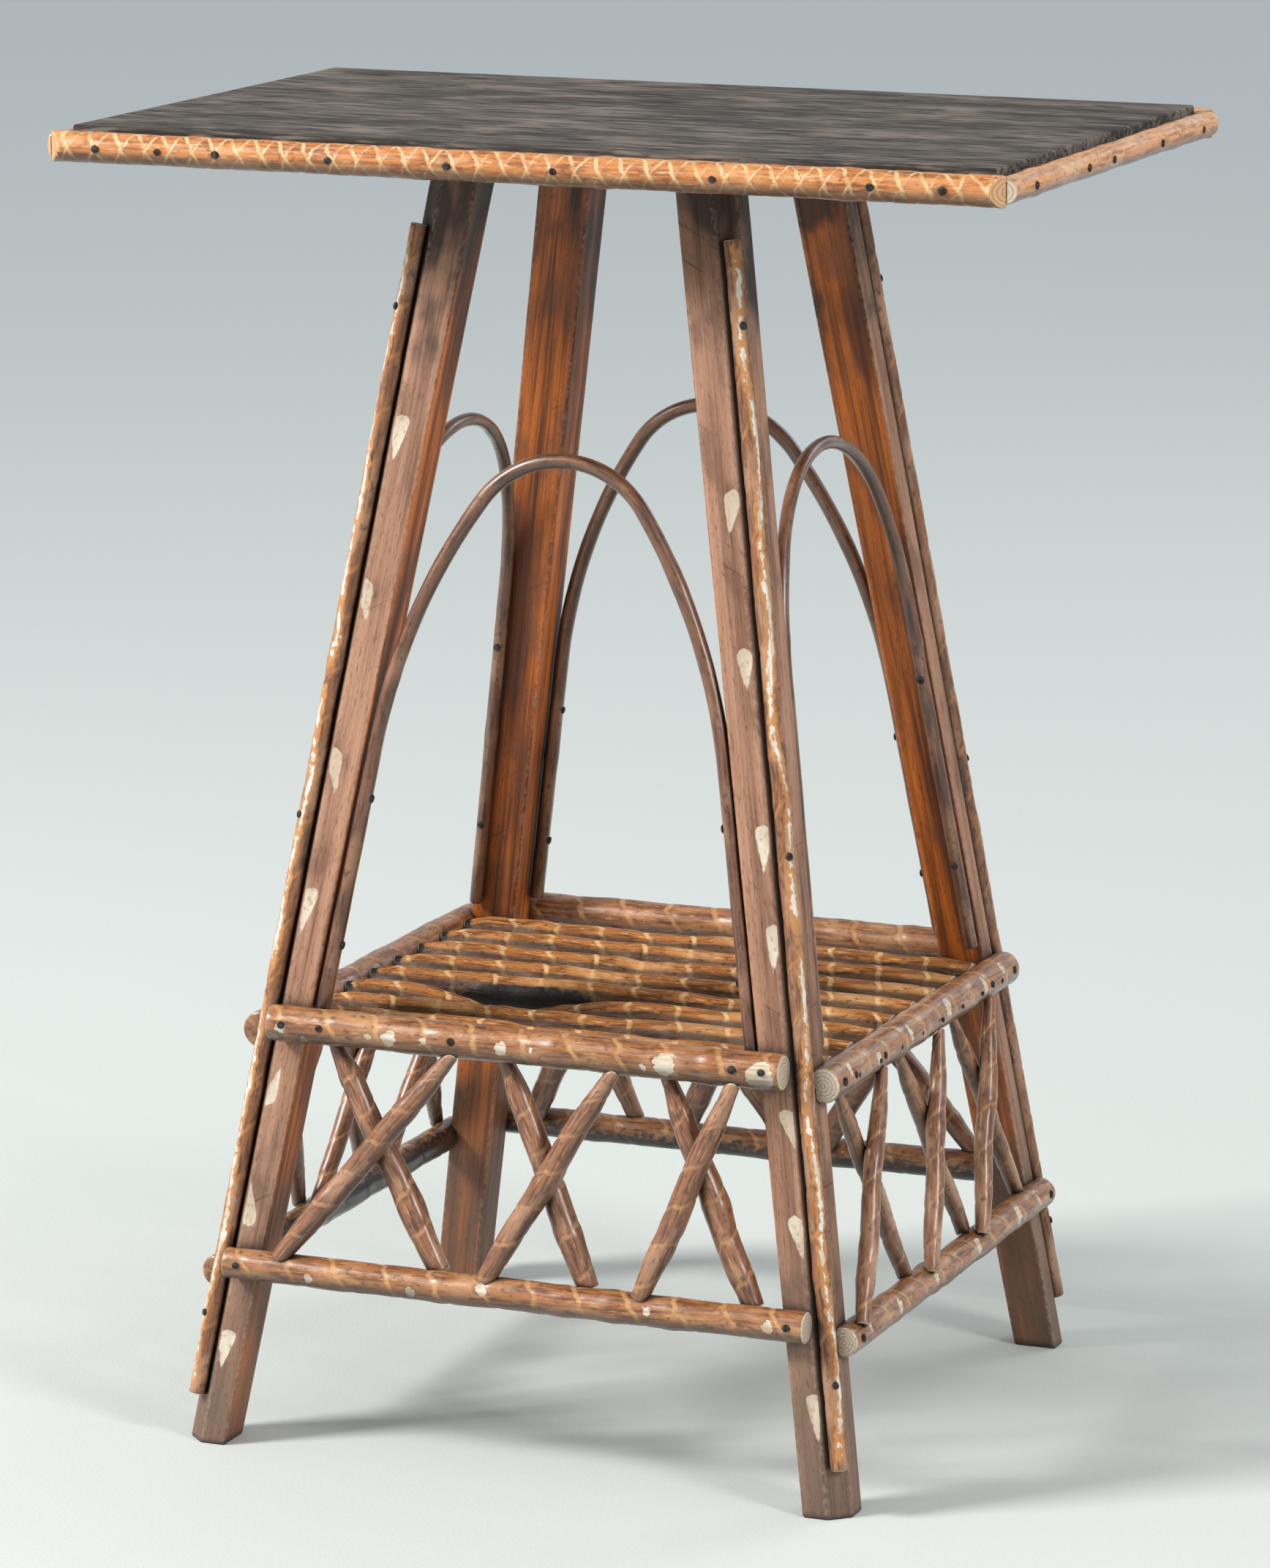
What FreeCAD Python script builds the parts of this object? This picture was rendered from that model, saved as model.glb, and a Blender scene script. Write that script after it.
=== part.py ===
import math
import os

import FreeCAD
import Part
from Sketcher import Constraint

# Twig table: a board top edged with round twigs, four splayed sawn legs with a twig nailed
# along each outer corner, a bentwood arch on every side, two courses of rails with a lattice
# of crossed twigs between them, and a shelf of round twigs.
# +Z is up, +X runs along the board, the front faces -Y, and the feet stand on Z = 0.

document = FreeCAD.newDocument("twig_table")
sheet = document.addObject("Spreadsheet::Sheet", "Dimensions")

# Driving dimensions in millimetres, angles in degrees, ratios without a unit
DRIVING_DIMENSIONS = (
    ("table_height", 735.0, "floor to the face of the top"),
    ("board_length", 532.0, "top board, along X"),
    ("board_width", 348.0, "top board, along Y"),
    ("board_thickness", 16.0, "top board"),
    ("long_band_radius", 8.5, "front and back edge twigs of the top"),
    ("short_band_radius", 7.2, "left and right edge twigs of the top"),
    ("band_drop", 2.4, "front edge twig below the face of the top"),
    ("band_seat", 1.2, "flat on the edge twig where it meets the board"),
    ("mitre_gap", 0.3, "open joint at the mitred corners"),
    ("band_corner_reach", 12.5, "blunted corner of the edge twigs from the corner of the board"),
    ("foot_half_x", 185.5, "middle of a foot from the middle of the table, along X"),
    ("foot_half_y", 180.0, "middle of a foot from the middle of the table, along Y"),
    ("head_half_x", 72.0, "middle of a leg head from the middle of the table, along X"),
    ("head_half_y", 83.5, "middle of a leg head from the middle of the table, along Y"),
    ("foot_width", 25.5, "leg at the floor, along X"),
    ("foot_depth", 25.5, "leg at the floor, along Y"),
    ("head_width", 32.5, "leg under the board, along X"),
    ("head_depth", 27.5, "leg under the board, along Y"),
    ("leg_chamfer", 11.0, "flat planed on the outer corner of each leg"),
    ("batten_thickness", 12.0, "batten under the board, along Z"),
    ("batten_width", 30.0, "batten under the board, along X"),
    ("corner_twig_radius", 4.8, "twig on the outer corner of each leg"),
    ("corner_twig_seat", 0.4, "flat on the corner twig where it meets the leg"),
    ("corner_twig_bottom", 27.0, "corner twig's lower end above the floor"),
    ("corner_twig_drop", 38.0, "corner twig's upper end below the board"),
    ("upper_rail_radius", 10.0, "upper rails"),
    ("lower_rail_radius", 8.8, "lower rails"),
    ("long_rail_seat", 0.8, "flat on a front or back rail where it meets a leg"),
    ("short_rail_seat", 5.5, "notch in a left or right rail where it meets a leg"),
    ("rail_end_gap", 2.5, "rail end to corner twig"),
    ("upper_long_rail_height", 241.0, "front upper rail above the floor"),
    ("upper_short_rail_height", 231.0, "left and right upper rails above the floor"),
    ("lower_long_rail_height", 105.0, "front lower rail above the floor"),
    ("lower_short_rail_height", 94.0, "left and right lower rails above the floor"),
    ("back_rail_drop", 4.5, "back rails below the front ones"),
    ("long_rise_radius", 6.2, "front and back lattice, twigs rising to the right"),
    ("long_fall_radius", 6.8, "front and back lattice, twigs falling to the right"),
    ("short_rise_radius", 5.0, "left and right lattice, twigs rising to the right"),
    ("short_fall_radius", 4.8, "left and right lattice, twigs falling to the right"),
    ("long_fall_setback", 9.5, "front and back falling twigs behind the rail axis"),
    ("short_fall_setback", 3.0, "left and right falling twigs behind the rail axis"),
    ("lattice_lap", 6.0, "lattice twig ends short of the rail axis before coping"),
    ("twig_taper", 0.88, "thin end of a lattice twig as a part of its thick end"),
    ("fit_clearance", 0.25, "coped and laid joints"),
    ("shelf_twig_radius", 10.0, "shelf twigs"),
    ("shelf_half_spread", 121.0, "middle of the outermost shelf twigs from the middle"),
    ("shelf_twig_count", 8.0, "twigs in the shelf"),
    ("shelf_cope", 2.4, "shelf twig ends let round the rails"),
    ("arch_radius", 4.6, "bentwood rod of the arches"),
    ("arch_apex_height", 557.0, "top of the arches' middle line above the floor"),
    ("arch_end_height", 247.0, "lower ends of the arches above the floor"),
    ("long_arch_bend_rise", 162.5, "crown over the straights, front and back arches, up the slope"),
    ("long_arch_crown_angle", 55.0, "half turn of the crown, front and back arches, in degrees"),
    ("short_arch_bend_rise", 110.4, "crown over the straights, left and right arches, up the slope"),
    ("short_arch_crown_angle", 60.0, "half turn of the crown, left and right arches, in degrees"),
    ("nail_radius", 1.1, "shank of every nail"),
    ("nail_head_radius", 2.6, "head of every nail"),
    ("nail_head_thickness", 1.0, "head of every nail"),
    ("nail_bite", 13.0, "nail in the piece behind"),
    ("nail_clearance", 0.1, "nail hole round the shank"),
)

for row, (alias, value, meaning) in enumerate(DRIVING_DIMENSIONS, start=1):
    sheet.set(f"A{row}", meaning)
    sheet.set(f"B{row}", str(value))
    sheet.setAlias(f"B{row}", alias)
document.recompute()

UP = FreeCAD.Vector(0, 0, 1)
ALONG = FreeCAD.Vector(1, 0, 0)

# Lattice ends along a rail, as parts of the half distance between the leg middles
LONG_RISE_END_RATIOS = ((-0.88, -0.25), (-0.10, 0.35), (0.48, 0.79))
LONG_FALL_END_RATIOS = ((-0.75, -0.30), (-0.10, 0.26), (0.50, 0.87))
SHORT_RISE_END_RATIOS = ((-0.99, -0.50), (-0.27, 0.10), (0.28, 0.66))
SHORT_FALL_END_RATIOS = ((-0.80, -0.36), (-0.18, 0.27), (0.40, 0.87))

# Places of nails, as parts of the length that they hold: half of an edge twig, a corner twig, the
# straight stretch of an arch, and half of the distance between the leg heads beside a batten
LONG_BAND_NAIL_RATIOS = (-0.92, -0.78, -0.65, -0.40, -0.14, 0.09, 0.43, 0.76, 0.91)
SHORT_BAND_NAIL_RATIOS = (-0.84, -0.33, -0.08, 0.42, 0.86)
CORNER_TWIG_NAIL_RATIOS = (0.07, 0.5, 0.93)
ARCH_NAIL_RATIOS = (0.25, 0.8)
BATTEN_NAIL_RATIOS = (-0.6, 0.0, 0.6)

# Side of the block that cuts a mitre, as a multiple of the thicker edge twigs' radius
MITRE_BLOCK_RATIO = 8


def size(alias):
    """Value of a driving dimension."""
    return float(sheet.get(alias))


def bind(piece, **expressions):
    """Tie properties of a piece to expressions of the dimension sheet."""
    for name, expression in expressions.items():
        piece.setExpression(name, expression)


def add(kind, name):
    """New document object with its own label."""
    piece = document.addObject(kind, name)
    piece.Label = name
    return piece


def rod(name, start, end, radius_expression, far_radius_expression=None):
    """Round rod from start to end, tapered where a far radius is given."""
    kind = "Part::Cone" if far_radius_expression else "Part::Cylinder"
    piece = add(kind, name)
    if far_radius_expression:
        bind(piece, Radius1=radius_expression, Radius2=far_radius_expression)
    else:
        bind(piece, Radius=radius_expression)
    piece.Height = (end - start).Length
    piece.Placement = FreeCAD.Placement(start, FreeCAD.Rotation(UP, end - start))
    return piece


def cut(name, base, tool):
    """Piece left when a tool shape is taken from a base."""
    piece = add("Part::Cut", name)
    piece.Base = base
    piece.Tool = tool
    return piece


def group(name, members):
    """Several shapes kept together as one object."""
    piece = add("Part::Compound", name)
    piece.Links = members
    return piece


# Leg geometry, shared by everything that seats on the legs

LEG_HEIGHT = size("table_height") - size("board_thickness")


def at_height(foot_value, head_value, height):
    """Value on a straight line from the floor to the underside of the board."""
    return foot_value + (head_value - foot_value) * height / LEG_HEIGHT


def leg_middle(axis, height):
    """Middle of a leg at a height, along X or Y."""
    return at_height(size(f"foot_half_{axis}"), size(f"head_half_{axis}"), height)


def leg_half(axis, height):
    """Half of a leg's section at a height, along X or Y."""
    side = "width" if axis == "x" else "depth"
    return at_height(size(f"foot_{side}"), size(f"head_{side}"), height) / 2


def leg_outer(axis, height):
    """Outer face of a leg at a height."""
    return leg_middle(axis, height) + leg_half(axis, height)


def leg_inner(axis, height):
    """Inner face of a leg at a height."""
    return leg_middle(axis, height) - leg_half(axis, height)


# Distance of a corner twig's middle line from the leg's sharp corner, along X and Y alike
CORNER_TWIG_INSET = size("leg_chamfer") / 2 - (
    size("corner_twig_radius") - size("corner_twig_seat")
) / math.sqrt(2)


class Side:
    """One side of the table: s runs to the right seen from outside, t up the leaning plane of
    the legs' outer faces and n outwards from that plane."""

    def __init__(self, name, turn, along, across):
        self.name = name
        self.along = along
        self.across = across
        self.kind = "long" if along == "x" else "short"
        foot = leg_outer(across, 0.0)
        self.lean = math.atan2(foot - leg_outer(across, LEG_HEIGHT), LEG_HEIGHT)
        tilt = FreeCAD.Rotation(ALONG, 90.0 - math.degrees(self.lean))
        self.turn = FreeCAD.Placement(FreeCAD.Vector(0, 0, 0), FreeCAD.Rotation(UP, turn))
        self.frame = self.turn.multiply(FreeCAD.Placement(FreeCAD.Vector(0, -foot, 0), tilt))

    def point(self, s, t, n):
        """Point of the table from this side's own coordinates."""
        return self.frame.multVec(FreeCAD.Vector(s, t, n))

    def slope_place(self, height, n):
        """The t coordinate that lies at a height, n outside the leg faces."""
        return (height - n * math.sin(self.lean)) / math.cos(self.lean)

    def outward(self):
        """Direction square to the leg faces, away from the table."""
        return self.frame.Rotation.multVec(UP)


SIDES = (
    Side("front", 0.0, "x", "y"),
    Side("right", 90.0, "y", "x"),
    Side("back", 180.0, "x", "y"),
    Side("left", 270.0, "y", "x"),
)
LEGS = (
    ("front_left", -1, -1),
    ("front_right", 1, -1),
    ("back_right", 1, 1),
    ("back_left", -1, 1),
)
LEGS_OF_SIDE = {
    "front": ("front_left", "front_right"),
    "right": ("front_right", "back_right"),
    "back": ("back_right", "back_left"),
    "left": ("back_left", "front_left"),
}
COURSES = ("upper", "lower")

sub_parts = {}


# Nails: one pattern of a nail, copied to where its head lies on the wood


def nail_shape(length):
    """Nail pointing down its own -Z, the underside of its head at the origin."""
    shank = Part.makeCylinder(size("nail_radius"), length, FreeCAD.Vector(0, 0, -length))
    head = Part.makeCylinder(size("nail_head_radius"), size("nail_head_thickness"))
    return shank.fuse(head).removeSplitter()


def bore_shape(length):
    """Hole that a nail of the same length is driven in."""
    depth = length + size("nail_clearance")
    radius = size("nail_radius") + size("nail_clearance")
    start = FreeCAD.Vector(0, 0, -depth)
    return Part.makeCylinder(radius, depth + size("nail_head_thickness"), start)


def nails(name, places):
    """Group of nails and the holes for them, each place a head, its direction and its length."""
    nail_copies = []
    bore_copies = []
    for head, inward, length in places:
        placement = FreeCAD.Placement(head, FreeCAD.Rotation(UP, -inward))
        for copies, shape in ((nail_copies, nail_shape(length)), (bore_copies, bore_shape(length))):
            shape.Placement = placement
            copies.append(shape)
    nail_group = add("Part::Feature", name)
    nail_group.Shape = Part.makeCompound(nail_copies)
    bore_group = add("Part::Feature", f"{name}_bores")
    bore_group.Shape = Part.makeCompound(bore_copies)
    sub_parts[name] = nail_group
    return bore_group


def rail_radius(course):
    """Radius of the rails of a course."""
    return size(f"{course}_rail_radius")


def rail_height(side, course):
    """Middle line of a rail above the floor."""
    height = size(f"{course}_{side.kind}_rail_height")
    return height - size("back_rail_drop") if side.name == "back" else height


def rail_middle(side, course):
    """The t and n of a rail's middle line on a side."""
    n = rail_radius(course) - size(f"{side.kind}_rail_seat")
    return side.slope_place(rail_height(side, course), n), n


def rail_half_length(side, course):
    """Half of a rail's length: it stops short of the corner twigs."""
    clear = CORNER_TWIG_INSET + size("corner_twig_radius") + size("rail_end_gap")
    return leg_outer(side.along, rail_height(side, course)) - clear


def rail_nail_places():
    """Two nails in each rail, one into the middle of what the planed corner leaves of each leg."""
    places = []
    for side in SIDES:
        for course in COURSES:
            t, n = rail_middle(side, course)
            reach = leg_middle(side.along, rail_height(side, course)) - size("leg_chamfer") / 2
            surface = n + rail_radius(course)
            for s in (-reach, reach):
                places.append((side.point(s, t, surface), -side.outward(), surface + size("nail_bite")))
    return places


def corner_twig_point(sign_x, sign_y, height):
    """Point on a corner twig's middle line."""
    return FreeCAD.Vector(
        sign_x * (leg_outer("x", height) - CORNER_TWIG_INSET),
        sign_y * (leg_outer("y", height) - CORNER_TWIG_INSET),
        height,
    )


def corner_twig_nail_places():
    """Three nails in each corner twig, driven towards the middle of the leg."""
    places = []
    bottom = size("corner_twig_bottom")
    length = LEG_HEIGHT - size("corner_twig_drop") - bottom
    radius = size("corner_twig_radius")
    for _, sign_x, sign_y in LEGS:
        grain = corner_twig_point(sign_x, sign_y, LEG_HEIGHT) - corner_twig_point(sign_x, sign_y, 0.0)
        outward = grain.cross(FreeCAD.Vector(sign_y, -sign_x, 0)).normalize()
        for place in CORNER_TWIG_NAIL_RATIOS:
            middle = corner_twig_point(sign_x, sign_y, bottom + place * length)
            depth = 2 * radius - size("corner_twig_seat") + size("nail_bite")
            places.append((middle + outward * radius, -outward, depth))
    return places


def arch_slope(side):
    """How far the arch's straights lean in for each millimetre up the side."""
    lean_in = leg_inner(side.along, 0.0) - leg_inner(side.along, LEG_HEIGHT)
    return lean_in * math.cos(side.lean) / LEG_HEIGHT


def arch_line(side, t):
    """The s of an arch's middle line beside a leg."""
    n = -size("arch_radius")
    height = t * math.cos(side.lean) + n * math.sin(side.lean)
    offset = (size("arch_radius") + size("fit_clearance")) * math.hypot(1.0, arch_slope(side))
    return leg_inner(side.along, height) - offset


def arch_levels(side):
    """The t of an arch's end, of the spring where it bends off the leg, and of its crown."""
    end, apex = (
        side.slope_place(size(f"arch_{level}_height"), -size("arch_radius")) for level in ("end", "apex")
    )
    return end, apex - size(f"{side.kind}_arch_bend_rise"), apex


def arch_nail_places():
    """Nails through the straight stretches of each arch into the legs beside them."""
    places = []
    radius = size("arch_radius")
    for side in SIDES:
        end, spring, _ = arch_levels(side)
        for place in ARCH_NAIL_RATIOS:
            t = end + place * (spring - end)
            for sign in (-1, 1):
                across = FreeCAD.Vector(sign, arch_slope(side), 0).normalize()
                into_leg = side.frame.Rotation.multVec(across)
                head = side.point(sign * arch_line(side, t), t, -radius) - into_leg * radius
                depth = 2 * radius + size("fit_clearance") + size("nail_bite")
                places.append((head, into_leg, depth))
    return places


def board_half(axis):
    """Half of the board along X or Y."""
    return size("board_length" if axis == "x" else "board_width") / 2


def band_radius(side):
    """Radius of the edge twig of a side."""
    return size(f"{side.kind}_band_radius")


def band_height():
    """Middle line of the edge twigs above the floor."""
    return size("table_height") - size("band_drop") - size("long_band_radius")


def band_nail_places():
    """Nails along each edge twig, into the edge of the board."""
    places = []
    for side in SIDES:
        through = 2 * band_radius(side) - size("band_seat")
        inward = side.turn.Rotation.multVec(FreeCAD.Vector(0, 1, 0))
        ratios = LONG_BAND_NAIL_RATIOS if side.kind == "long" else SHORT_BAND_NAIL_RATIOS
        for place in ratios:
            s = place * board_half(side.along)
            face = FreeCAD.Vector(s, -board_half(side.across) - through, band_height())
            places.append((side.turn.multVec(face), inward, through + size("nail_bite")))
    return places


def batten_face():
    """Inner upright face of a batten from the middle of the table, along X."""
    return leg_inner("x", LEG_HEIGHT) - size("batten_width")


def batten_nail_places():
    """Nails up through each batten into the board, and sideways into the two legs beside it."""
    places = []
    low = LEG_HEIGHT - size("batten_thickness")
    nail_length = size("batten_thickness") + size("board_thickness") / 2
    for sign in (-1, 1):
        middle = sign * (batten_face() + size("batten_width") / 2)
        for place in BATTEN_NAIL_RATIOS:
            head = FreeCAD.Vector(middle, place * leg_middle("y", LEG_HEIGHT), low)
            places.append((head, UP, nail_length))
        level = low + size("batten_thickness") / 2
        for sign_y in (-1, 1):
            head = FreeCAD.Vector(sign * batten_face(), sign_y * leg_middle("y", level), level)
            reach = leg_inner("x", level) - batten_face() + size("nail_bite")
            places.append((head, FreeCAD.Vector(sign, 0, 0), reach))
    return places


def shelf_twig_rows():
    """The Y of each shelf twig."""
    count = int(size("shelf_twig_count"))
    spread = size("shelf_half_spread")
    return [spread - 2 * spread * index / (count - 1) for index in range(count)]


def shelf_nail_places():
    """A nail through a side rail into each end of each shelf twig."""
    places = []
    radius = rail_radius("upper")
    for side in (SIDES[1], SIDES[3]):
        t, n = rail_middle(side, "upper")
        inward = side.turn.Rotation.multVec(FreeCAD.Vector(0, 1, 0))
        middle = side.point(0.0, t, n)
        for row in shelf_twig_rows():
            head = FreeCAD.Vector(middle.x, row, middle.z) - inward * radius
            places.append((head, inward, 2 * radius + size("nail_bite")))
    return places


rail_bores = nails("rail_nails", rail_nail_places())
corner_twig_bores = nails("corner_twig_nails", corner_twig_nail_places())
arch_bores = nails("arch_nails", arch_nail_places())
band_bores = nails("edge_band_nails", band_nail_places())
batten_bores = nails("batten_nails", batten_nail_places())
shelf_bores = nails("shelf_nails", shelf_nail_places())


# Top board: a padded rectangle, bored for the edge nails and the batten nails


def make_board():
    """Top board as a sketch padded down from its face."""
    body = add("PartDesign::Body", "top_board_blank")
    sketch = body.newObject("Sketcher::SketchObject", "top_board_outline")
    plane = next(item for item in body.Origin.OriginFeatures if item.Role == "XY_Plane")
    sketch.AttachmentSupport = (plane, [""])
    sketch.MapMode = "FlatFace"
    half_x, half_y = board_half("x"), board_half("y")
    corners = [
        FreeCAD.Vector(-half_x, -half_y, 0),
        FreeCAD.Vector(half_x, -half_y, 0),
        FreeCAD.Vector(half_x, half_y, 0),
        FreeCAD.Vector(-half_x, half_y, 0),
    ]
    for start, end in zip(corners, corners[1:] + corners[:1]):
        sketch.addGeometry(Part.LineSegment(start, end))
    for line in range(4):
        sketch.addConstraint(Constraint("Coincident", line, 2, (line + 1) % 4, 1))
    for line, direction in enumerate(("Horizontal", "Vertical", "Horizontal", "Vertical")):
        sketch.addConstraint(Constraint(direction, line))
    sketch.addConstraint(Constraint("Symmetric", 0, 1, 2, 1, -1, 1))
    length = sketch.addConstraint(Constraint("DistanceX", 0, 1, 0, 2, 2 * half_x))
    width = sketch.addConstraint(Constraint("DistanceY", 1, 1, 1, 2, 2 * half_y))
    sketch.setExpression(f"Constraints[{length}]", "Dimensions.board_length")
    sketch.setExpression(f"Constraints[{width}]", "Dimensions.board_width")
    pad = body.newObject("PartDesign::Pad", "top_board_pad")
    pad.Profile = sketch
    pad.setExpression("Length", "Dimensions.board_thickness")
    body.Placement = FreeCAD.Placement(FreeCAD.Vector(0, 0, LEG_HEIGHT), FreeCAD.Rotation())
    return body


board_blank = make_board()
board_holes = group("top_board_holes", [band_bores, batten_bores])
sub_parts["top_board"] = cut("top_board", board_blank, board_holes)


# Edge twigs: round rods seated on the board's edges with a flat, mitred at the corners, their
# sharp tips taken off across the corner


def corner_block(name, side, sign, angle, start):
    """Block that takes away a rod's end at a board corner, beyond a plane set square to a
    level direction at a distance from the corner."""
    tool = add("Part::Box", name)
    reach = f"{MITRE_BLOCK_RATIO} * Dimensions.long_band_radius"
    bind(tool, Length=reach, Width=reach, Height=reach)
    block = MITRE_BLOCK_RATIO * size("long_band_radius")
    turn = FreeCAD.Rotation(UP, angle)
    corner = FreeCAD.Vector(sign * board_half(side.along), -board_half(side.across), band_height())
    shift = turn.multVec(FreeCAD.Vector(start, -block / 2, -block / 2))
    tool.Placement = side.turn.multiply(FreeCAD.Placement(corner + shift, turn))
    return tool


def mitre_tool(name, side, sign):
    """Block beyond the mitre line through a board corner."""
    return corner_block(name, side, sign, 45.0 if sign > 0 else 135.0, -size("mitre_gap") / 2)


def blunting_tool(name, side, sign):
    """Block that takes the sharp tip off a mitred corner."""
    return corner_block(name, side, sign, -45.0 if sign > 0 else -135.0, size("band_corner_reach"))


def make_edge_band(side):
    """Edge twig of one side."""
    name = f"edge_band_{side.name}"
    offset = board_half(side.across) + band_radius(side) - size("band_seat")
    reach = board_half(side.along) + 2 * band_radius(side)
    start = side.turn.multVec(FreeCAD.Vector(-reach, -offset, band_height()))
    end = side.turn.multVec(FreeCAD.Vector(reach, -offset, band_height()))
    blank = rod(f"{name}_blank", start, end, f"Dimensions.{side.kind}_band_radius")
    ends = (("near", -1), ("far", 1))
    mitres = [mitre_tool(f"{name}_mitre_{end}", side, sign) for end, sign in ends]
    blunts = [blunting_tool(f"{name}_blunt_{end}", side, sign) for end, sign in ends]
    seated = cut(f"{name}_seated", blank, board_blank)
    mitred = cut(f"{name}_mitred", seated, group(f"{name}_mitres", mitres))
    blunted = cut(f"{name}_blunted", mitred, group(f"{name}_blunts", blunts))
    return cut(name, blunted, band_bores)


for side in SIDES:
    sub_parts[f"edge_band_{side.name}"] = make_edge_band(side)


# Legs: tapered, splayed in both directions, cut level at the floor and under the board


def make_leg(name, sign_x, sign_y):
    """Leg from its foot rectangle to its head rectangle, its outer corner planed flat."""
    blank = add("Part::Wedge", f"leg_{name}_blank")
    sheet_name = "Dimensions"
    for end, low, high in (("foot", "min", "max"), ("head", "2min", "2max")):
        middle_x = f"{sign_x} * {sheet_name}.{end}_half_x"
        middle_z = f"{-sign_y} * {sheet_name}.{end}_half_y"
        bind(blank, **{f"X{low}": f"{middle_x} - {sheet_name}.{end}_width / 2"})
        bind(blank, **{f"X{high}": f"{middle_x} + {sheet_name}.{end}_width / 2"})
        bind(blank, **{f"Z{low}": f"{middle_z} - {sheet_name}.{end}_depth / 2"})
        bind(blank, **{f"Z{high}": f"{middle_z} + {sheet_name}.{end}_depth / 2"})
    blank.Ymin = 0.0
    bind(blank, Ymax=f"{sheet_name}.table_height - {sheet_name}.board_thickness")
    blank.Placement = FreeCAD.Placement(FreeCAD.Vector(0, 0, 0), FreeCAD.Rotation(ALONG, 90.0))
    document.recompute()
    foot = FreeCAD.Vector(sign_x * leg_outer("x", 0.0), sign_y * leg_outer("y", 0.0), 0.0)
    head = FreeCAD.Vector(
        sign_x * leg_outer("x", LEG_HEIGHT), sign_y * leg_outer("y", LEG_HEIGHT), LEG_HEIGHT
    )
    middle = (foot + head) / 2
    edges = blank.Shape.Edges
    nearest = min(range(len(edges)), key=lambda index: (edges[index].CenterOfMass - middle).Length)
    planed = add("Part::Chamfer", f"leg_{name}_planed")
    planed.Base = blank
    planed.Edges = [(nearest + 1, size("leg_chamfer"), size("leg_chamfer"))]
    return planed


leg_bores = group("leg_bores", [rail_bores, corner_twig_bores, arch_bores, batten_bores])
planed_legs = {}
for name, sign_x, sign_y in LEGS:
    planed_legs[name] = make_leg(name, sign_x, sign_y)
    sub_parts[f"leg_{name}"] = cut(f"leg_{name}", planed_legs[name], leg_bores)


# Battens: bevelled to the slope of the legs' inner faces, under the board


def make_batten(name, sign):
    """Batten between the heads of two legs, against their inner faces."""
    blank = add("Part::Wedge", f"{name}_blank")
    low = LEG_HEIGHT - size("batten_thickness")
    faces = {
        "": sorted((sign * batten_face(), sign * leg_inner("x", low))),
        "2": sorted((sign * batten_face(), sign * leg_inner("x", LEG_HEIGHT))),
    }
    half_length = leg_outer("y", LEG_HEIGHT)
    for level, (near, far) in faces.items():
        setattr(blank, f"X{level}min", near)
        setattr(blank, f"X{level}max", far)
        setattr(blank, f"Z{level}min", -half_length)
        setattr(blank, f"Z{level}max", half_length)
    blank.Ymin = 0.0
    bind(blank, Ymax="Dimensions.batten_thickness")
    blank.Placement = FreeCAD.Placement(FreeCAD.Vector(0, 0, low), FreeCAD.Rotation(ALONG, 90.0))
    return cut(name, blank, batten_bores)


for name, sign in (("top_batten_left", -1), ("top_batten_right", 1)):
    sub_parts[name] = make_batten(name, sign)


# Corner twigs: round rods along the planed corners, with a flat where they are nailed on


def make_corner_twig(name, sign_x, sign_y):
    """Corner twig of one leg."""
    label = f"corner_twig_{name}"
    start = corner_twig_point(sign_x, sign_y, size("corner_twig_bottom"))
    end = corner_twig_point(sign_x, sign_y, LEG_HEIGHT - size("corner_twig_drop"))
    blank = rod(f"{label}_blank", start, end, "Dimensions.corner_twig_radius")
    seated = cut(f"{label}_seated", blank, planed_legs[name])
    return cut(label, seated, corner_twig_bores)


for name, sign_x, sign_y in LEGS:
    sub_parts[f"corner_twig_{name}"] = make_corner_twig(name, sign_x, sign_y)


# Rails: round rods with a flat at each leg, and the same rods grown by a fit for coping

rail_holes = group("rail_holes", [rail_bores, shelf_bores])
coping_rods = {}
for side in SIDES:
    leg_pair = group(f"leg_pair_{side.name}", [planed_legs[leg] for leg in LEGS_OF_SIDE[side.name]])
    side_rods = []
    for course in COURSES:
        label = f"{course}_rail_{side.name}"
        t, n = rail_middle(side, course)
        half = rail_half_length(side, course)
        start = side.point(-half, t, n)
        end = side.point(half, t, n)
        radius = f"Dimensions.{course}_rail_radius"
        blank = rod(f"{label}_blank", start, end, radius)
        seated = cut(f"{label}_seated", blank, leg_pair)
        sub_parts[label] = cut(label, seated, rail_holes)
        side_rods.append(rod(f"{label}_coping", start, end, f"{radius} + Dimensions.fit_clearance"))
    coping_rods[side.name] = group(f"coping_{side.name}", side_rods)


# Lattice: twigs rising to the right lie outside, twigs falling to the right behind them


def make_lattice_twig(side, direction, number, ends):
    """Lattice twig coped between the lower and the upper rail."""
    label = f"lattice_{side.name}_{direction}_{number}"
    low_t, low_n = rail_middle(side, "lower")
    high_t, high_n = rail_middle(side, "upper")
    offset = -size(f"{side.kind}_fall_setback")
    if direction == "rise":
        radii = size(f"{side.kind}_rise_radius") + size(f"{side.kind}_fall_radius")
        offset += radii + size("fit_clearance")
    middle_height = (low_t + high_t) / 2 * math.cos(side.lean)
    half_span = leg_middle(side.along, middle_height)
    left, right = (part * half_span for part in ends)
    foot_s, head_s = (left, right) if direction == "rise" else (right, left)
    foot = side.point(foot_s, low_t + size("lattice_lap"), low_n + offset)
    head = side.point(head_s, high_t - size("lattice_lap"), high_n + offset)
    thick = f"Dimensions.{side.kind}_{direction}_radius"
    blank = rod(f"{label}_blank", foot, head, thick, f"{thick} * Dimensions.twig_taper")
    return label, cut(label, blank, coping_rods[side.name])


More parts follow.
